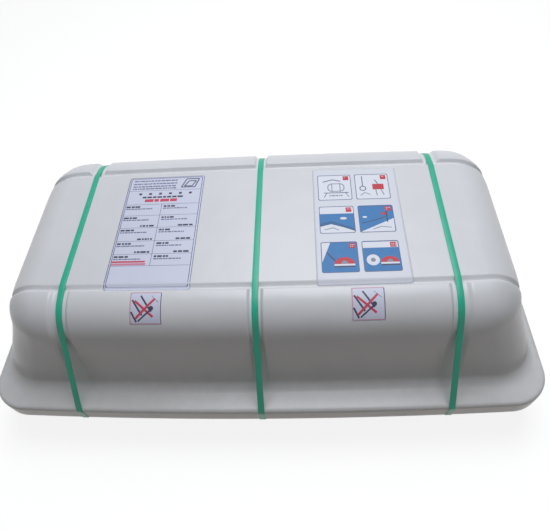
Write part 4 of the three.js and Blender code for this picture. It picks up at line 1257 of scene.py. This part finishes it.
@dataclass
class Print:
    """Shapes of ink on a film, in the film's own millimetres from its front left corner. Each
    has an ink and a layer, and a higher layer lies over a lower one. Lines and outlines are cut
    into short steps, so that they bend with the surface under them. The word bars' least and
    greatest lengths and gaps are shares of their height."""

    seed: int = 1
    line_step: float = 4.0
    outline_step: float = 5.0
    word_lengths: tuple[float, float] = (0.7, 2.6)
    word_gaps: tuple[float, float] = (0.25, 0.5)
    shapes: list[tuple[Ink, int, np.ndarray, list[list[int]]]] = field(default_factory=list)

    def add(self, ink: Ink, layer: int, points: np.ndarray, faces: list[list[int]]) -> None:
        """Keep one shape."""
        self.shapes.append((ink, layer, np.asarray(points, dtype=float), faces))

    def area(self, ink: Ink, layer: int,
             outline: np.ndarray | list[tuple[float, float]]) -> None:
        """Fill a flat outline, given counter-clockwise."""
        self.add(ink, layer, np.array(outline), [list(range(len(outline)))])

    def stroke(self, ink: Ink, layer: int, points: list[tuple[float, float]],
               width: float) -> None:
        """Draw a line: each straight stretch is a strip.

        Args:
            ink: The line's ink.
            layer: Its layer.
            points: Its corners.
            width: Its width.
        """
        for a, b in zip(points, points[1:]):
            start, end = np.array(a, dtype=float), np.array(b, dtype=float)
            run = end - start
            length = float(np.linalg.norm(run))
            side = np.array([-run[1], run[0]]) / length * width / 2
            steps = max(1, int(length / self.line_step))
            t = np.linspace(0.0, 1.0, steps + 1)[:, None]
            middle = start + run * t
            grid = np.stack([middle + side, middle - side], 1)
            self.add(ink, layer, grid, grid_quads(len(t), 2)[:, ::-1].tolist())

    def bar(self, ink: Ink, layer: int, left: float, right: float, low: float,
            high: float) -> None:
        """Fill an upright rectangle."""
        middle = (low + high) / 2
        self.stroke(ink, layer, [(left, middle), (right, middle)], high - low)

    def rounded(self, left: float, right: float, low: float, high: float,
                radius: float) -> np.ndarray:
        """Give a rounded rectangle's outline, counter-clockwise.

        Args:
            left: Its left side.
            right: Its right side.
            low: Its front side.
            high: Its back side.
            radius: Its corner radius.

        Returns:
            The outline's points.
        """
        corners = [(right - radius, low + radius, -90), (right - radius, high - radius, 0),
                   (left + radius, high - radius, 90), (left + radius, low + radius, 180)]
        turn = np.linspace(0.0, math.pi / 2, 5)
        points: list[np.ndarray] = []
        for cx, cy, a in corners:
            angles = turn + math.radians(a)
            arc = np.stack([cx + radius * np.cos(angles), cy + radius * np.sin(angles)], 1)
            if points:
                points.append(self.cut(points[-1][-1], arc[0]))
            points.append(arc)
        points.append(self.cut(points[-1][-1], points[0][0]))
        return np.concatenate(points)

    def cut(self, start: np.ndarray, end: np.ndarray) -> np.ndarray:
        """Give points between two, without those two.

        Args:
            start: The first of the two.
            end: The last.

        Returns:
            The points between.
        """
        steps = max(1, int(np.linalg.norm(end - start) / self.outline_step))
        t = np.linspace(0.0, 1.0, steps + 1)[1:-1, None]
        return start[None] * (1 - t) + end[None] * t

    def border(self, ink: Ink, layer: int, box: tuple[float, float, float, float],
               radius: float, width: float) -> None:
        """Draw a rounded rectangle's line, as a strip between two outlines.

        Args:
            ink: The line's ink.
            layer: Its layer.
            box: Left, right, low and high.
            radius: Its corner radius.
            width: Its width, inwards.
        """
        left, right, low, high = box
        outer = self.rounded(left, right, low, high, radius)
        middle = np.array([(left + right) / 2, (low + high) / 2])
        half = np.array([(right - left) / 2, (high - low) / 2])
        inner = middle + (outer - middle) * (half - width) / half
        count = len(outer)
        faces = grid_quads(2, count, closed=True).tolist()
        self.add(ink, layer, np.concatenate([outer, inner]), faces)

    def disc(self, ink: Ink, layer: int, u: float, v: float, radius: float,
             flat: float = 1.0) -> None:
        """Fill a circle, or an ellipse that is lower than wide.

        Args:
            ink: Its ink.
            layer: Its layer.
            u: Its middle along.
            v: Its middle across.
            radius: Its radius along.
            flat: Its height over its width.
        """
        turn = np.linspace(0.0, 2 * math.pi, 20, endpoint=False)
        self.area(ink, layer, np.stack([u + radius * np.cos(turn),
                                        v + flat * radius * np.sin(turn)], 1))

    def words(self, ink: Ink, layer: int, left: float, right: float, v: float,
              height: float) -> None:
        """Stand plain short bars in the place of a line of words, with a bar and a gap of
        seeded lengths in turn.

        Args:
            ink: The bars' ink.
            layer: Their layer.
            left: Where the line starts.
            right: Where it ends.
            v: Its middle across.
            height: The bars' height, which their lengths and gaps follow.
        """
        self.seed += 1
        chance = np.random.default_rng(self.seed)
        u = left
        while u < right - height:
            length = height * chance.uniform(*self.word_lengths)
            end = min(right, u + length)
            self.bar(ink, layer, u, end, v - height / 2, v + height / 2)
            u = end + height * chance.uniform(*self.word_gaps)


@dataclass
class Film:
    """A printed self-adhesive film laid on the upper tray."""

    name: str
    node: str
    left: float
    right: float
    front: float
    back: float
    vinyl: Finish
    corner: float = 6.0
    lift: float = 0.05
    thickness: float = 0.25
    layer_step: float = 0.05
    ink_thickness: float = 0.03
    columns: int = 40
    rows: int = 90

    def build(self, design: Print, inks: dict[Ink, bpy.types.Material]) -> None:
        """Make the film, a grid laid on the tray and given thickness, and its print. Points in a
        corner's square that lie beyond its radius are pulled in to the radius.

        Args:
            design: The print.
            inks: The inks' materials.
        """
        u, v = np.meshgrid(np.linspace(self.left, self.right, self.columns),
                           np.linspace(self.front, self.back, self.rows))
        middle_u, middle_v = (self.left + self.right) / 2, (self.front + self.back) / 2
        flat_u, flat_v = self.right - middle_u - self.corner, self.back - middle_v - self.corner
        reach_u = np.clip(np.abs(u - middle_u) - flat_u, 0.0, None)
        reach_v = np.clip(np.abs(v - middle_v) - flat_v, 0.0, None)
        pull = self.corner / np.maximum(np.hypot(reach_u, reach_v), self.corner)
        u = u - np.sign(u - middle_u) * reach_u * (1.0 - pull)
        v = v - np.sign(v - middle_v) * reach_v * (1.0 - pull)
        made = MeshParts()
        made.add(UPPER.lay(u, v, self.lift + self.thickness), grid_quads(*u.shape))
        film = made.make(self.name, [self.vinyl.build()])
        solid = film.modifiers.new("film thickness", "SOLIDIFY")
        solid.thickness = self.thickness * MM
        solid.offset = -1.0
        dress(film, "label_film", self.node)
        used = sorted({ink for ink, *_ in design.shapes}, key=lambda ink: ink.name)
        made = MeshParts()
        for ink, layer, points, faces in design.shapes:
            flat = points.reshape(-1, 2)
            lift = self.lift + self.thickness + self.layer_step * layer
            laid = UPPER.lay(self.left + flat[:, 0], self.front + flat[:, 1], lift)
            made.add(laid, faces, used.index(ink))
        printed = made.make(f"{self.name}_print", [inks[ink] for ink in used])
        printed.data.shade_flat()
        solid = printed.modifiers.new("ink thickness", "SOLIDIFY")
        solid.thickness = self.ink_thickness * MM
        solid.offset = -1.0
        dress(printed, "label_film")


@dataclass
class DataFilm:
    """The data sheet left of the middle band: a table of two columns under two title fields."""

    film: Film = field(default_factory=lambda: Film(
        "data_film", "data_label", -372.0, -157.0, -199.0, 172.0, VINYL))
    edge_box: tuple[float, float, float, float] = (0.6, 214.4, 0.6, 370.4)
    frame_box: tuple[float, float, float, float] = (5.0, 209.5, 6.5, 367.0)
    row_lines: tuple[float, ...] = (320.0, 269.0, 230.0, 188.0, 144.0, 103.0, 67.0)
    middle: float = 106.0

    def design(self) -> Print:
        """Draw the frames, the table's lines, and plain bars in the place of words.

        Returns:
            The print.
        """
        made = Print(seed=40)
        left, right = self.frame_box[:2]
        made.border(Ink.FRAME, 1, self.edge_box, 6.0, 1.5)
        made.border(Ink.FRAME, 1, self.frame_box, 5.0, 1.8)
        for v in self.row_lines:
            made.bar(Ink.FRAME, 1, left, right, v - 0.5, v + 0.5)
        made.bar(Ink.FRAME, 1, self.middle - 0.6, self.middle + 0.6, self.row_lines[-1],
                 self.row_lines[1])
        for v in (357.0, 346.0, 336.0, 327.5):
            made.words(Ink.TEXT, 1, 14, 138, v, 4.4)
        for inset in (0.0, 8.0):
            made.stroke(Ink.DARK, 1, [(152 + inset, 329 + inset / 2), (164 + inset, 360 - inset),
                                      (200 - inset, 360 - inset), (190 - inset, 329 + inset / 2),
                                      (152 + inset, 329 + inset / 2)], 3.0)
        for u in np.linspace(36, 176, 6):
            made.bar(Ink.DARK, 1, u, u + 8, 304, 311)
        made.words(Ink.DARK, 1, 48, 166, 295, 6)
        made.words(Ink.RED, 1, 56, 158, 283, 10)
        for top, bottom in zip(self.row_lines[1:], self.row_lines[2:]):
            for start, stop in ((left + 4, self.middle - 6), (self.middle + 6, right - 10)):
                width = stop - start
                made.words(Ink.DARK, 1, start, start + width * 0.42, top - 8, 5.6)
                made.words(Ink.TEXT, 1, start, start + width * 0.8, top - 15.5, 3.8)
                if bottom not in (self.row_lines[2], self.row_lines[-1]):
                    made.words(Ink.DARK, 1, start + width * 0.55, stop, bottom + 6, 5.6)
        made.bar(Ink.PINK, 2, 7, 94, 69, 75)
        made.bar(Ink.RED, 2, 7, 92, 77, 82)
        return made


@dataclass
class PictureFilm:
    """The instruction sheet right of the middle band: six framed pictures of plain forms in sea
    and raft colours, each with a red field and white pips in its corner."""

    film: Film = field(default_factory=lambda: Film(
        "picture_film", "instruction_label", 146.0, 373.0, -197.0, 177.0, CLEAR_VINYL))
    columns: tuple[tuple[float, float], ...] = ((13.5, 104.0), (114.5, 205.0))
    rows: tuple[tuple[float, float], ...] = ((260.0, 351.0), (149.0, 238.0), (31.0, 122.0))

    def design(self) -> Print:
        """Draw the six pictures.

        Returns:
            The print.
        """
        made = Print()
        scenes = (self.case, self.lever, self.swell, self.ramp, self.shelter, self.ring)
        boxes = [(*column, *row) for row in self.rows for column in self.columns]
        for number, (box, scene) in enumerate(zip(boxes, scenes), start=1):
            self.ground(made, box, scene in (self.shelter, self.ring, self.ramp))
            scene(made, box[0], box[2])
            self.corner_mark(made, box, number)
            made.border(Ink.FRAME, 5, box, 5.0, 1.7)
        return made

    @staticmethod
    def ground(made: Print, box: tuple[float, float, float, float], blue: bool) -> None:
        """Fill a picture's ground.

        Args:
            made: The print.
            box: The picture's left, right, front and back side.
            blue: Whether it is sea blue, and not white.
        """
        outline = made.rounded(*box, 5.0)
        made.area(Ink.BLUE if blue else Ink.WHITE, 1, outline)

    @staticmethod
    def corner_mark(made: Print, box: tuple[float, float, float, float], number: int) -> None:
        """Put a red field with as many white pips as the picture's number in its corner.

        Args:
            made: The print.
            box: The picture's left, right, front and back side.
            number: The picture's number.
        """
        u, v = box[1] - 21, box[3] - 20
        made.bar(Ink.SIGNAL_RED, 3, u, u + 15, v, v + 15)
        for i in range(number):
            pip_u, pip_v = u + 3.4 + 4.1 * (i % 3), v + 10 - 5 * (i // 3)
            made.bar(Ink.WHITE, 4, pip_u, pip_u + 2.2, pip_v - 1.1, pip_v + 1.1)

    @staticmethod
    def case(made: Print, u: float, v: float) -> None:
        """Draw a strapped case on its stand, in grey lines.

        Args:
            made: The print.
            u: The picture's left side.
            v: Its front side.
        """
        made.border(Ink.GREY, 2, (u + 26, u + 72, v + 30, v + 60), 12.0, 2.6)
        for at in (38, 60):
            made.stroke(Ink.GREY, 2, [(u + at, v + 29), (u + at, v + 61)], 2.4)
        made.stroke(Ink.FRAME, 2, [(u + 16, v + 26), (u + 82, v + 26)], 2.6)
        made.stroke(Ink.GREY, 2, [(u + 24, v + 26), (u + 16, v + 10)], 2.4)
        made.stroke(Ink.GREY, 2, [(u + 74, v + 26), (u + 82, v + 10)], 2.4)
        made.stroke(Ink.FRAME, 2, [(u + 14, v + 66), (u + 40, v + 74), (u + 62, v + 68)], 3.0)
        made.words(Ink.GREY, 2, u + 30, u + 70, v + 16, 4)

    @staticmethod
    def lever(made: Print, u: float, v: float) -> None:
        """Draw a red block with a lever, and a hanging line with a ring.

        Args:
            made: The print.
            u: The picture's left side.
            v: Its front side.
        """
        made.bar(Ink.SIGNAL_RED, 2, u + 46, u + 76, v + 34, v + 54)
        made.stroke(Ink.GREY, 3, [(u + 61, v + 54), (u + 54, v + 70)], 3.4)
        made.stroke(Ink.GREY, 3, [(u + 54, v + 34), (u + 56, v + 12)], 2.6)
        made.stroke(Ink.GREY, 3, [(u + 68, v + 34), (u + 74, v + 14)], 2.6)
        made.stroke(Ink.FRAME, 2, [(u + 20, v + 84), (u + 20, v + 48)], 2.6)
        made.border(Ink.FRAME, 2, (u + 11, u + 29, v + 30, v + 48), 8.5, 2.6)
        made.stroke(Ink.GREY, 2, [(u + 12, v + 14), (u + 24, v + 24), (u + 38, v + 16)], 2.4)

    @staticmethod
    def swell(made: Print, u: float, v: float) -> None:
        """Draw a sea that slopes away under a white sky, with a small white float.

        Args:
            made: The print.
            u: The picture's left side.
            v: Its front side.
        """
        made.area(Ink.BLUE, 2, [(u + 1, v + 22), (u + 30, v + 30), (u + 62, v + 18),
                                (u + 89, v + 6), (u + 89, v + 64), (u + 1, v + 64)])
        made.area(Ink.DEEP_BLUE, 3, [(u + 1, v + 22), (u + 30, v + 30), (u + 62, v + 18),
                                     (u + 89, v + 6), (u + 89, v + 14), (u + 60, v + 28),
                                     (u + 30, v + 40), (u + 1, v + 32)])
        made.disc(Ink.WHITE, 3, u + 62, v + 48, 9, 0.45)
        made.stroke(Ink.GREY, 3, [(u + 12, v + 12), (u + 34, v + 18), (u + 48, v + 10)], 2.4)

    @staticmethod
    def ramp(made: Print, u: float, v: float) -> None:
        """Draw a white ramp running down to the sea, with a post and a small red flag.

        Args:
            made: The print.
            u: The picture's left side.
            v: Its front side.
        """
        made.area(Ink.WHITE, 2, [(u + 2, v + 2), (u + 88, v + 2), (u + 89, v + 44),
                                 (u + 60, v + 30)])
        made.stroke(Ink.DARK, 3, [(u + 72, v + 32), (u + 72, v + 68)], 3.2)
        made.area(Ink.SIGNAL_RED, 3, [(u + 70, v + 54), (u + 70, v + 66), (u + 54, v + 60)])
        made.stroke(Ink.DARK, 3, [(u + 8, v + 30), (u + 44, v + 40), (u + 68, v + 50)], 2.0)
        made.stroke(Ink.GREY, 3, [(u + 34, v + 10), (u + 56, v + 18), (u + 80, v + 14)], 2.4)
        made.disc(Ink.WHITE, 3, u + 16, v + 50, 6, 0.5)

    @staticmethod
    def dome(made: Print, u: float, v: float, size: float) -> None:
        """Draw a raft from the side: a red dome on a white tube with an open doorway.

        Args:
            made: The print.
            u: The dome's middle.
            v: Its foot.
            size: Its half-width.
        """
        turn = np.linspace(0.0, math.pi, 14)
        half_circle = size * np.stack([np.cos(turn), np.sin(turn)], 1)
        made.area(Ink.SIGNAL_RED, 3, (u, v) + half_circle * (1.0, 0.82))
        made.area(Ink.GREY, 4, (u, v) + half_circle * (0.34, 0.42))
        made.stroke(Ink.WHITE, 4, [(u - size, v - 2), (u + size, v - 2)], 5.0)
        made.stroke(Ink.DARK, 3, [(u - size, v - 7), (u + size, v - 7)], 3.4)

    def shelter(self, made: Print, u: float, v: float) -> None:
        """Draw the raft beside a white wall.

        Args:
            made: The print.
            u: The picture's left side.
            v: Its front side.
        """
        made.area(Ink.WHITE, 2, [(u + 2, v + 89), (u + 2, v + 30), (u + 24, v + 89)])
        made.stroke(Ink.DARK, 3, [(u + 14, v + 60), (u + 26, v + 44), (u + 34, v + 34)], 3.2)
        self.dome(made, u + 56, v + 24, 25)

    def ring(self, made: Print, u: float, v: float) -> None:
        """Draw a white ring and the raft under a pale sky.

        Args:
            made: The print.
            u: The picture's left side.
            v: Its front side.
        """
        made.area(Ink.WHITE, 2, [(u + 2, v + 70), (u + 88, v + 70), (u + 88, v + 88),
                                 (u + 2, v + 88)])
        made.disc(Ink.WHITE, 3, u + 24, v + 34, 16)
        made.disc(Ink.GREY, 4, u + 24, v + 34, 6)
        self.dome(made, u + 64, v + 26, 22)


@dataclass
class HandlingFilm:
    """A square film on the front bolster, bent round its roll, with slanted bars and a cross."""

    side: str
    x: float
    width: float = 77.0
    from_angle: float = 5.0
    to_angle: float = 48.0

    def build(self, inks: dict[Ink, bpy.types.Material]) -> None:
        """Make the film and its print.

        Args:
            inks: The inks' materials.
        """
        low = -UPPER.core_y - UPPER.roll * math.radians(self.to_angle)
        high = -UPPER.core_y - UPPER.roll * math.radians(self.from_angle)
        film = Film(f"handling_film_{self.side}", f"handling_label_{self.side}",
                    self.x - self.width / 2, self.x + self.width / 2, low, high, VINYL,
                    corner=2.0)
        made = Print()
        top = high - low
        made.border(Ink.PINK, 1, (1.2, self.width - 1.2, 1.2, top - 1.2), 2.0, 1.6)
        made.stroke(Ink.DARK, 2, [(self.width - 1.8, 2), (self.width - 1.8, top - 3)], 1.6)
        for start, stop in (((6, 58), (30, 22)), ((26, 68), (52, 30)), ((4, 30), (16, 6))):
            made.stroke(Ink.DARK, 2, [start, stop], 4.2)
        made.stroke(Ink.RED, 3, [(14, 14), (60, 60)], 5.4)
        made.stroke(Ink.RED, 3, [(12, 56), (56, 18)], 5.4)
        made.stroke(Ink.DARK, 4, [(20, 8), (50, 34)], 3.6)
        made.disc(Ink.DARK, 4, 52, 38, 5.5)
        made.stroke(Ink.GREY, 1, [(52, 68), (69, 52)], 1.6)
        film.build(made, inks)


# What lies inside

@dataclass
class PackedKit:
    """CAD pieces that keep their shape: the seal and all that the closed container hides."""

    finishes: dict[str, Finish] = field(default_factory=lambda: INNER_FINISHES)

    def build(self) -> None:
        """Give each kept CAD node the finish of its material slot."""
        slots = {sub["node"]: sub["material_slot"] for sub in frame["record"]["subparts"]}
        built: dict[str, bpy.types.Material] = {}
        for name in frame["nodes"]:
            slot = slots[name]
            if slot not in self.finishes:
                continue
            node = bpy.data.objects.get(name)
            if node is None or node.type != "MESH":
                continue
            if slot not in built:
                built[slot] = self.finishes[slot].build()
            node.data.materials.clear()
            node.data.materials.append(built[slot])
            log.info("%s: %s", name, built[slot].name)


# The studio

@dataclass
class Studio:
    """Camera, lamp, world and floor. Places are in metres, angles in degrees and the focal
    length in pixels of the photograph's width."""

    eye: tuple[float, float, float] = (0.1202, -0.8437, 1.3785)
    down_angle: float = 53.995
    heading: float = -5.998
    roll_angle: float = 6.317
    focal_px: float = 492.0
    frame_px: float = 550.0
    sensor_mm: float = 36.0
    lamp_place: tuple[float, float, float] = (0.25, 0.88, 3.0)
    lamp_aim: tuple[float, float, float] = (0.0, 0.0, 0.25)
    lamp_side: float = 1.9
    lamp_watts: float = 64.0
    lamp_tint: str = "#f6f9ff"
    sky_tint: str = "#f4f5fa"
    sky_strength: float = 0.16
    floor_tone: str = "#9b8a74"
    floor_seen_tone: str = "#8a8a8a"
    floor_glow: float = 0.86
    floor_half: float = 30.0
    floor_drop: float = 0.0005

    def place_camera(self) -> None:
        """Stand the camera at the photograph's viewpoint: heading and downward angle give the
        view direction, and the roll turns it about that direction."""
        down, yaw, roll = (math.radians(a) for a in (self.down_angle, self.heading,
                                                     self.roll_angle))
        ahead = Vector((math.sin(yaw) * math.cos(down), math.cos(yaw) * math.cos(down),
                        -math.sin(down)))
        right = Vector((math.cos(yaw), -math.sin(yaw), 0.0))
        below = ahead.cross(right)
        turned = math.cos(roll) * right + math.sin(roll) * below
        up = math.sin(roll) * right - math.cos(roll) * below
        data = bpy.data.cameras.new("photo_camera")
        data.sensor_width = self.sensor_mm
        data.sensor_fit = "HORIZONTAL"
        data.lens = self.sensor_mm * self.focal_px / self.frame_px
        data.clip_end = 50.0
        camera = bpy.data.objects.new("photo_camera", data)
        axes = Matrix((turned, up, -ahead)).transposed().to_4x4()
        camera.matrix_world = Matrix.Translation(self.eye) @ axes
        bpy.context.scene.collection.objects.link(camera)
        bpy.context.scene.camera = camera

    def hang_lamp(self) -> None:
        """Hang a square soft lamp above and a little behind the container, looking at it."""
        data = bpy.data.lights.new("sky_lamp", "AREA")
        data.size, data.energy = self.lamp_side, self.lamp_watts
        data.color = linear(self.lamp_tint)[:3]
        lamp = bpy.data.objects.new("sky_lamp", data)
        aim = Vector(self.lamp_aim) - Vector(self.lamp_place)
        lamp.rotation_euler = aim.to_track_quat("-Z", "Y").to_euler()
        lamp.location = self.lamp_place
        bpy.context.scene.collection.objects.link(lamp)

    @staticmethod
    def seen_rays(tree: bpy.types.NodeTree) -> bpy.types.NodeSocket:
        """Tell the rays that show the background from those that light the object.

        Args:
            tree: The node tree.

        Returns:
            1 for camera, glossy and transmission rays, and 0 for others.
        """
        path = add_node(tree, "ShaderNodeLightPath")
        seen = path.outputs["Is Camera Ray"]
        for ray in ("Is Glossy Ray", "Is Transmission Ray"):
            seen = add_node(tree, "ShaderNodeMath", {0: seen, 1: path.outputs[ray]},
                            operation="MAXIMUM").outputs["Value"]
        return seen

    def light_world(self) -> None:
        """Give a soft pale sky, and plain white for the rays that show the background."""
        world = bpy.data.worlds.new("studio")
        bpy.context.scene.world = world
        world.use_nodes = True
        tree = world.node_tree
        tree.nodes.clear()
        soft = add_node(tree, "ShaderNodeBackground", {
            "Color": linear(self.sky_tint), "Strength": self.sky_strength})
        white = add_node(tree, "ShaderNodeBackground", {
            "Color": (1.0, 1.0, 1.0, 1.0), "Strength": 1.0})
        mix = add_node(tree, "ShaderNodeMixShader", {
            0: self.seen_rays(tree), 1: soft.outputs["Background"],
            2: white.outputs["Background"]})
        add_node(tree, "ShaderNodeOutputWorld", {"Surface": mix.outputs["Shader"]})

    def lay_floor(self) -> None:
        """Lay a wide pale floor just under the container. For the rays that show the background
        its own white glow is added, so that it meets the white background while the object's
        shadow still darkens it."""
        corners = np.array([(-1.0, -1.0), (1.0, -1.0), (1.0, 1.0), (-1.0, 1.0)])
        parts = MeshParts()
        parts.add(np.column_stack([corners * self.floor_half, np.full(4, -self.floor_drop)]) / MM,
                  [[0, 1, 2, 3]])
        material = bpy.data.materials.new("matt_floor_paint_white")
        material.use_nodes = True
        tree = material.node_tree
        tree.nodes.clear()
        paint = add_node(tree, "ShaderNodeBsdfDiffuse", {"Color": linear(self.floor_tone)})
        pale = add_node(tree, "ShaderNodeBsdfDiffuse", {"Color": linear(self.floor_seen_tone)})
        glow = add_node(tree, "ShaderNodeEmission", {
            "Color": (1.0, 1.0, 1.0, 1.0), "Strength": self.floor_glow})
        lit = add_node(tree, "ShaderNodeAddShader", {
            0: pale.outputs["BSDF"], 1: glow.outputs["Emission"]})
        mix = add_node(tree, "ShaderNodeMixShader", {
            0: self.seen_rays(tree), 1: paint.outputs["BSDF"], 2: lit.outputs["Shader"]})
        add_node(tree, "ShaderNodeOutputMaterial", {"Surface": mix.outputs["Shader"]})
        parts.make("floor", [material])

    def build(self) -> None:
        """Set up the view, the lamp, the world and the floor."""
        bpy.context.scene.view_settings.view_transform = "Standard"
        self.place_camera()
        self.hang_lamp()
        self.light_world()
        self.lay_floor()


def main() -> None:
    """Build every piece in order."""
    logging.basicConfig(level=logging.INFO, format="%(name)s %(message)s")
    Studio().build()
    Container().build()
    strapping, zinc = STRAPPING.build(), ZINC.build()
    for name, x in BAND_PLACES.items():
        Band(name, x).build(strapping, zinc)
    inks = {ink: ink.build() for ink in Ink}
    data, pictures = DataFilm(), PictureFilm()
    data.film.build(data.design(), inks)
    pictures.film.build(pictures.design(), inks)
    for side, x in HANDLING_PLACES.items():
        HandlingFilm(side, x).build(inks)
    PackedKit().build()


if __name__ == "__main__":
    main()
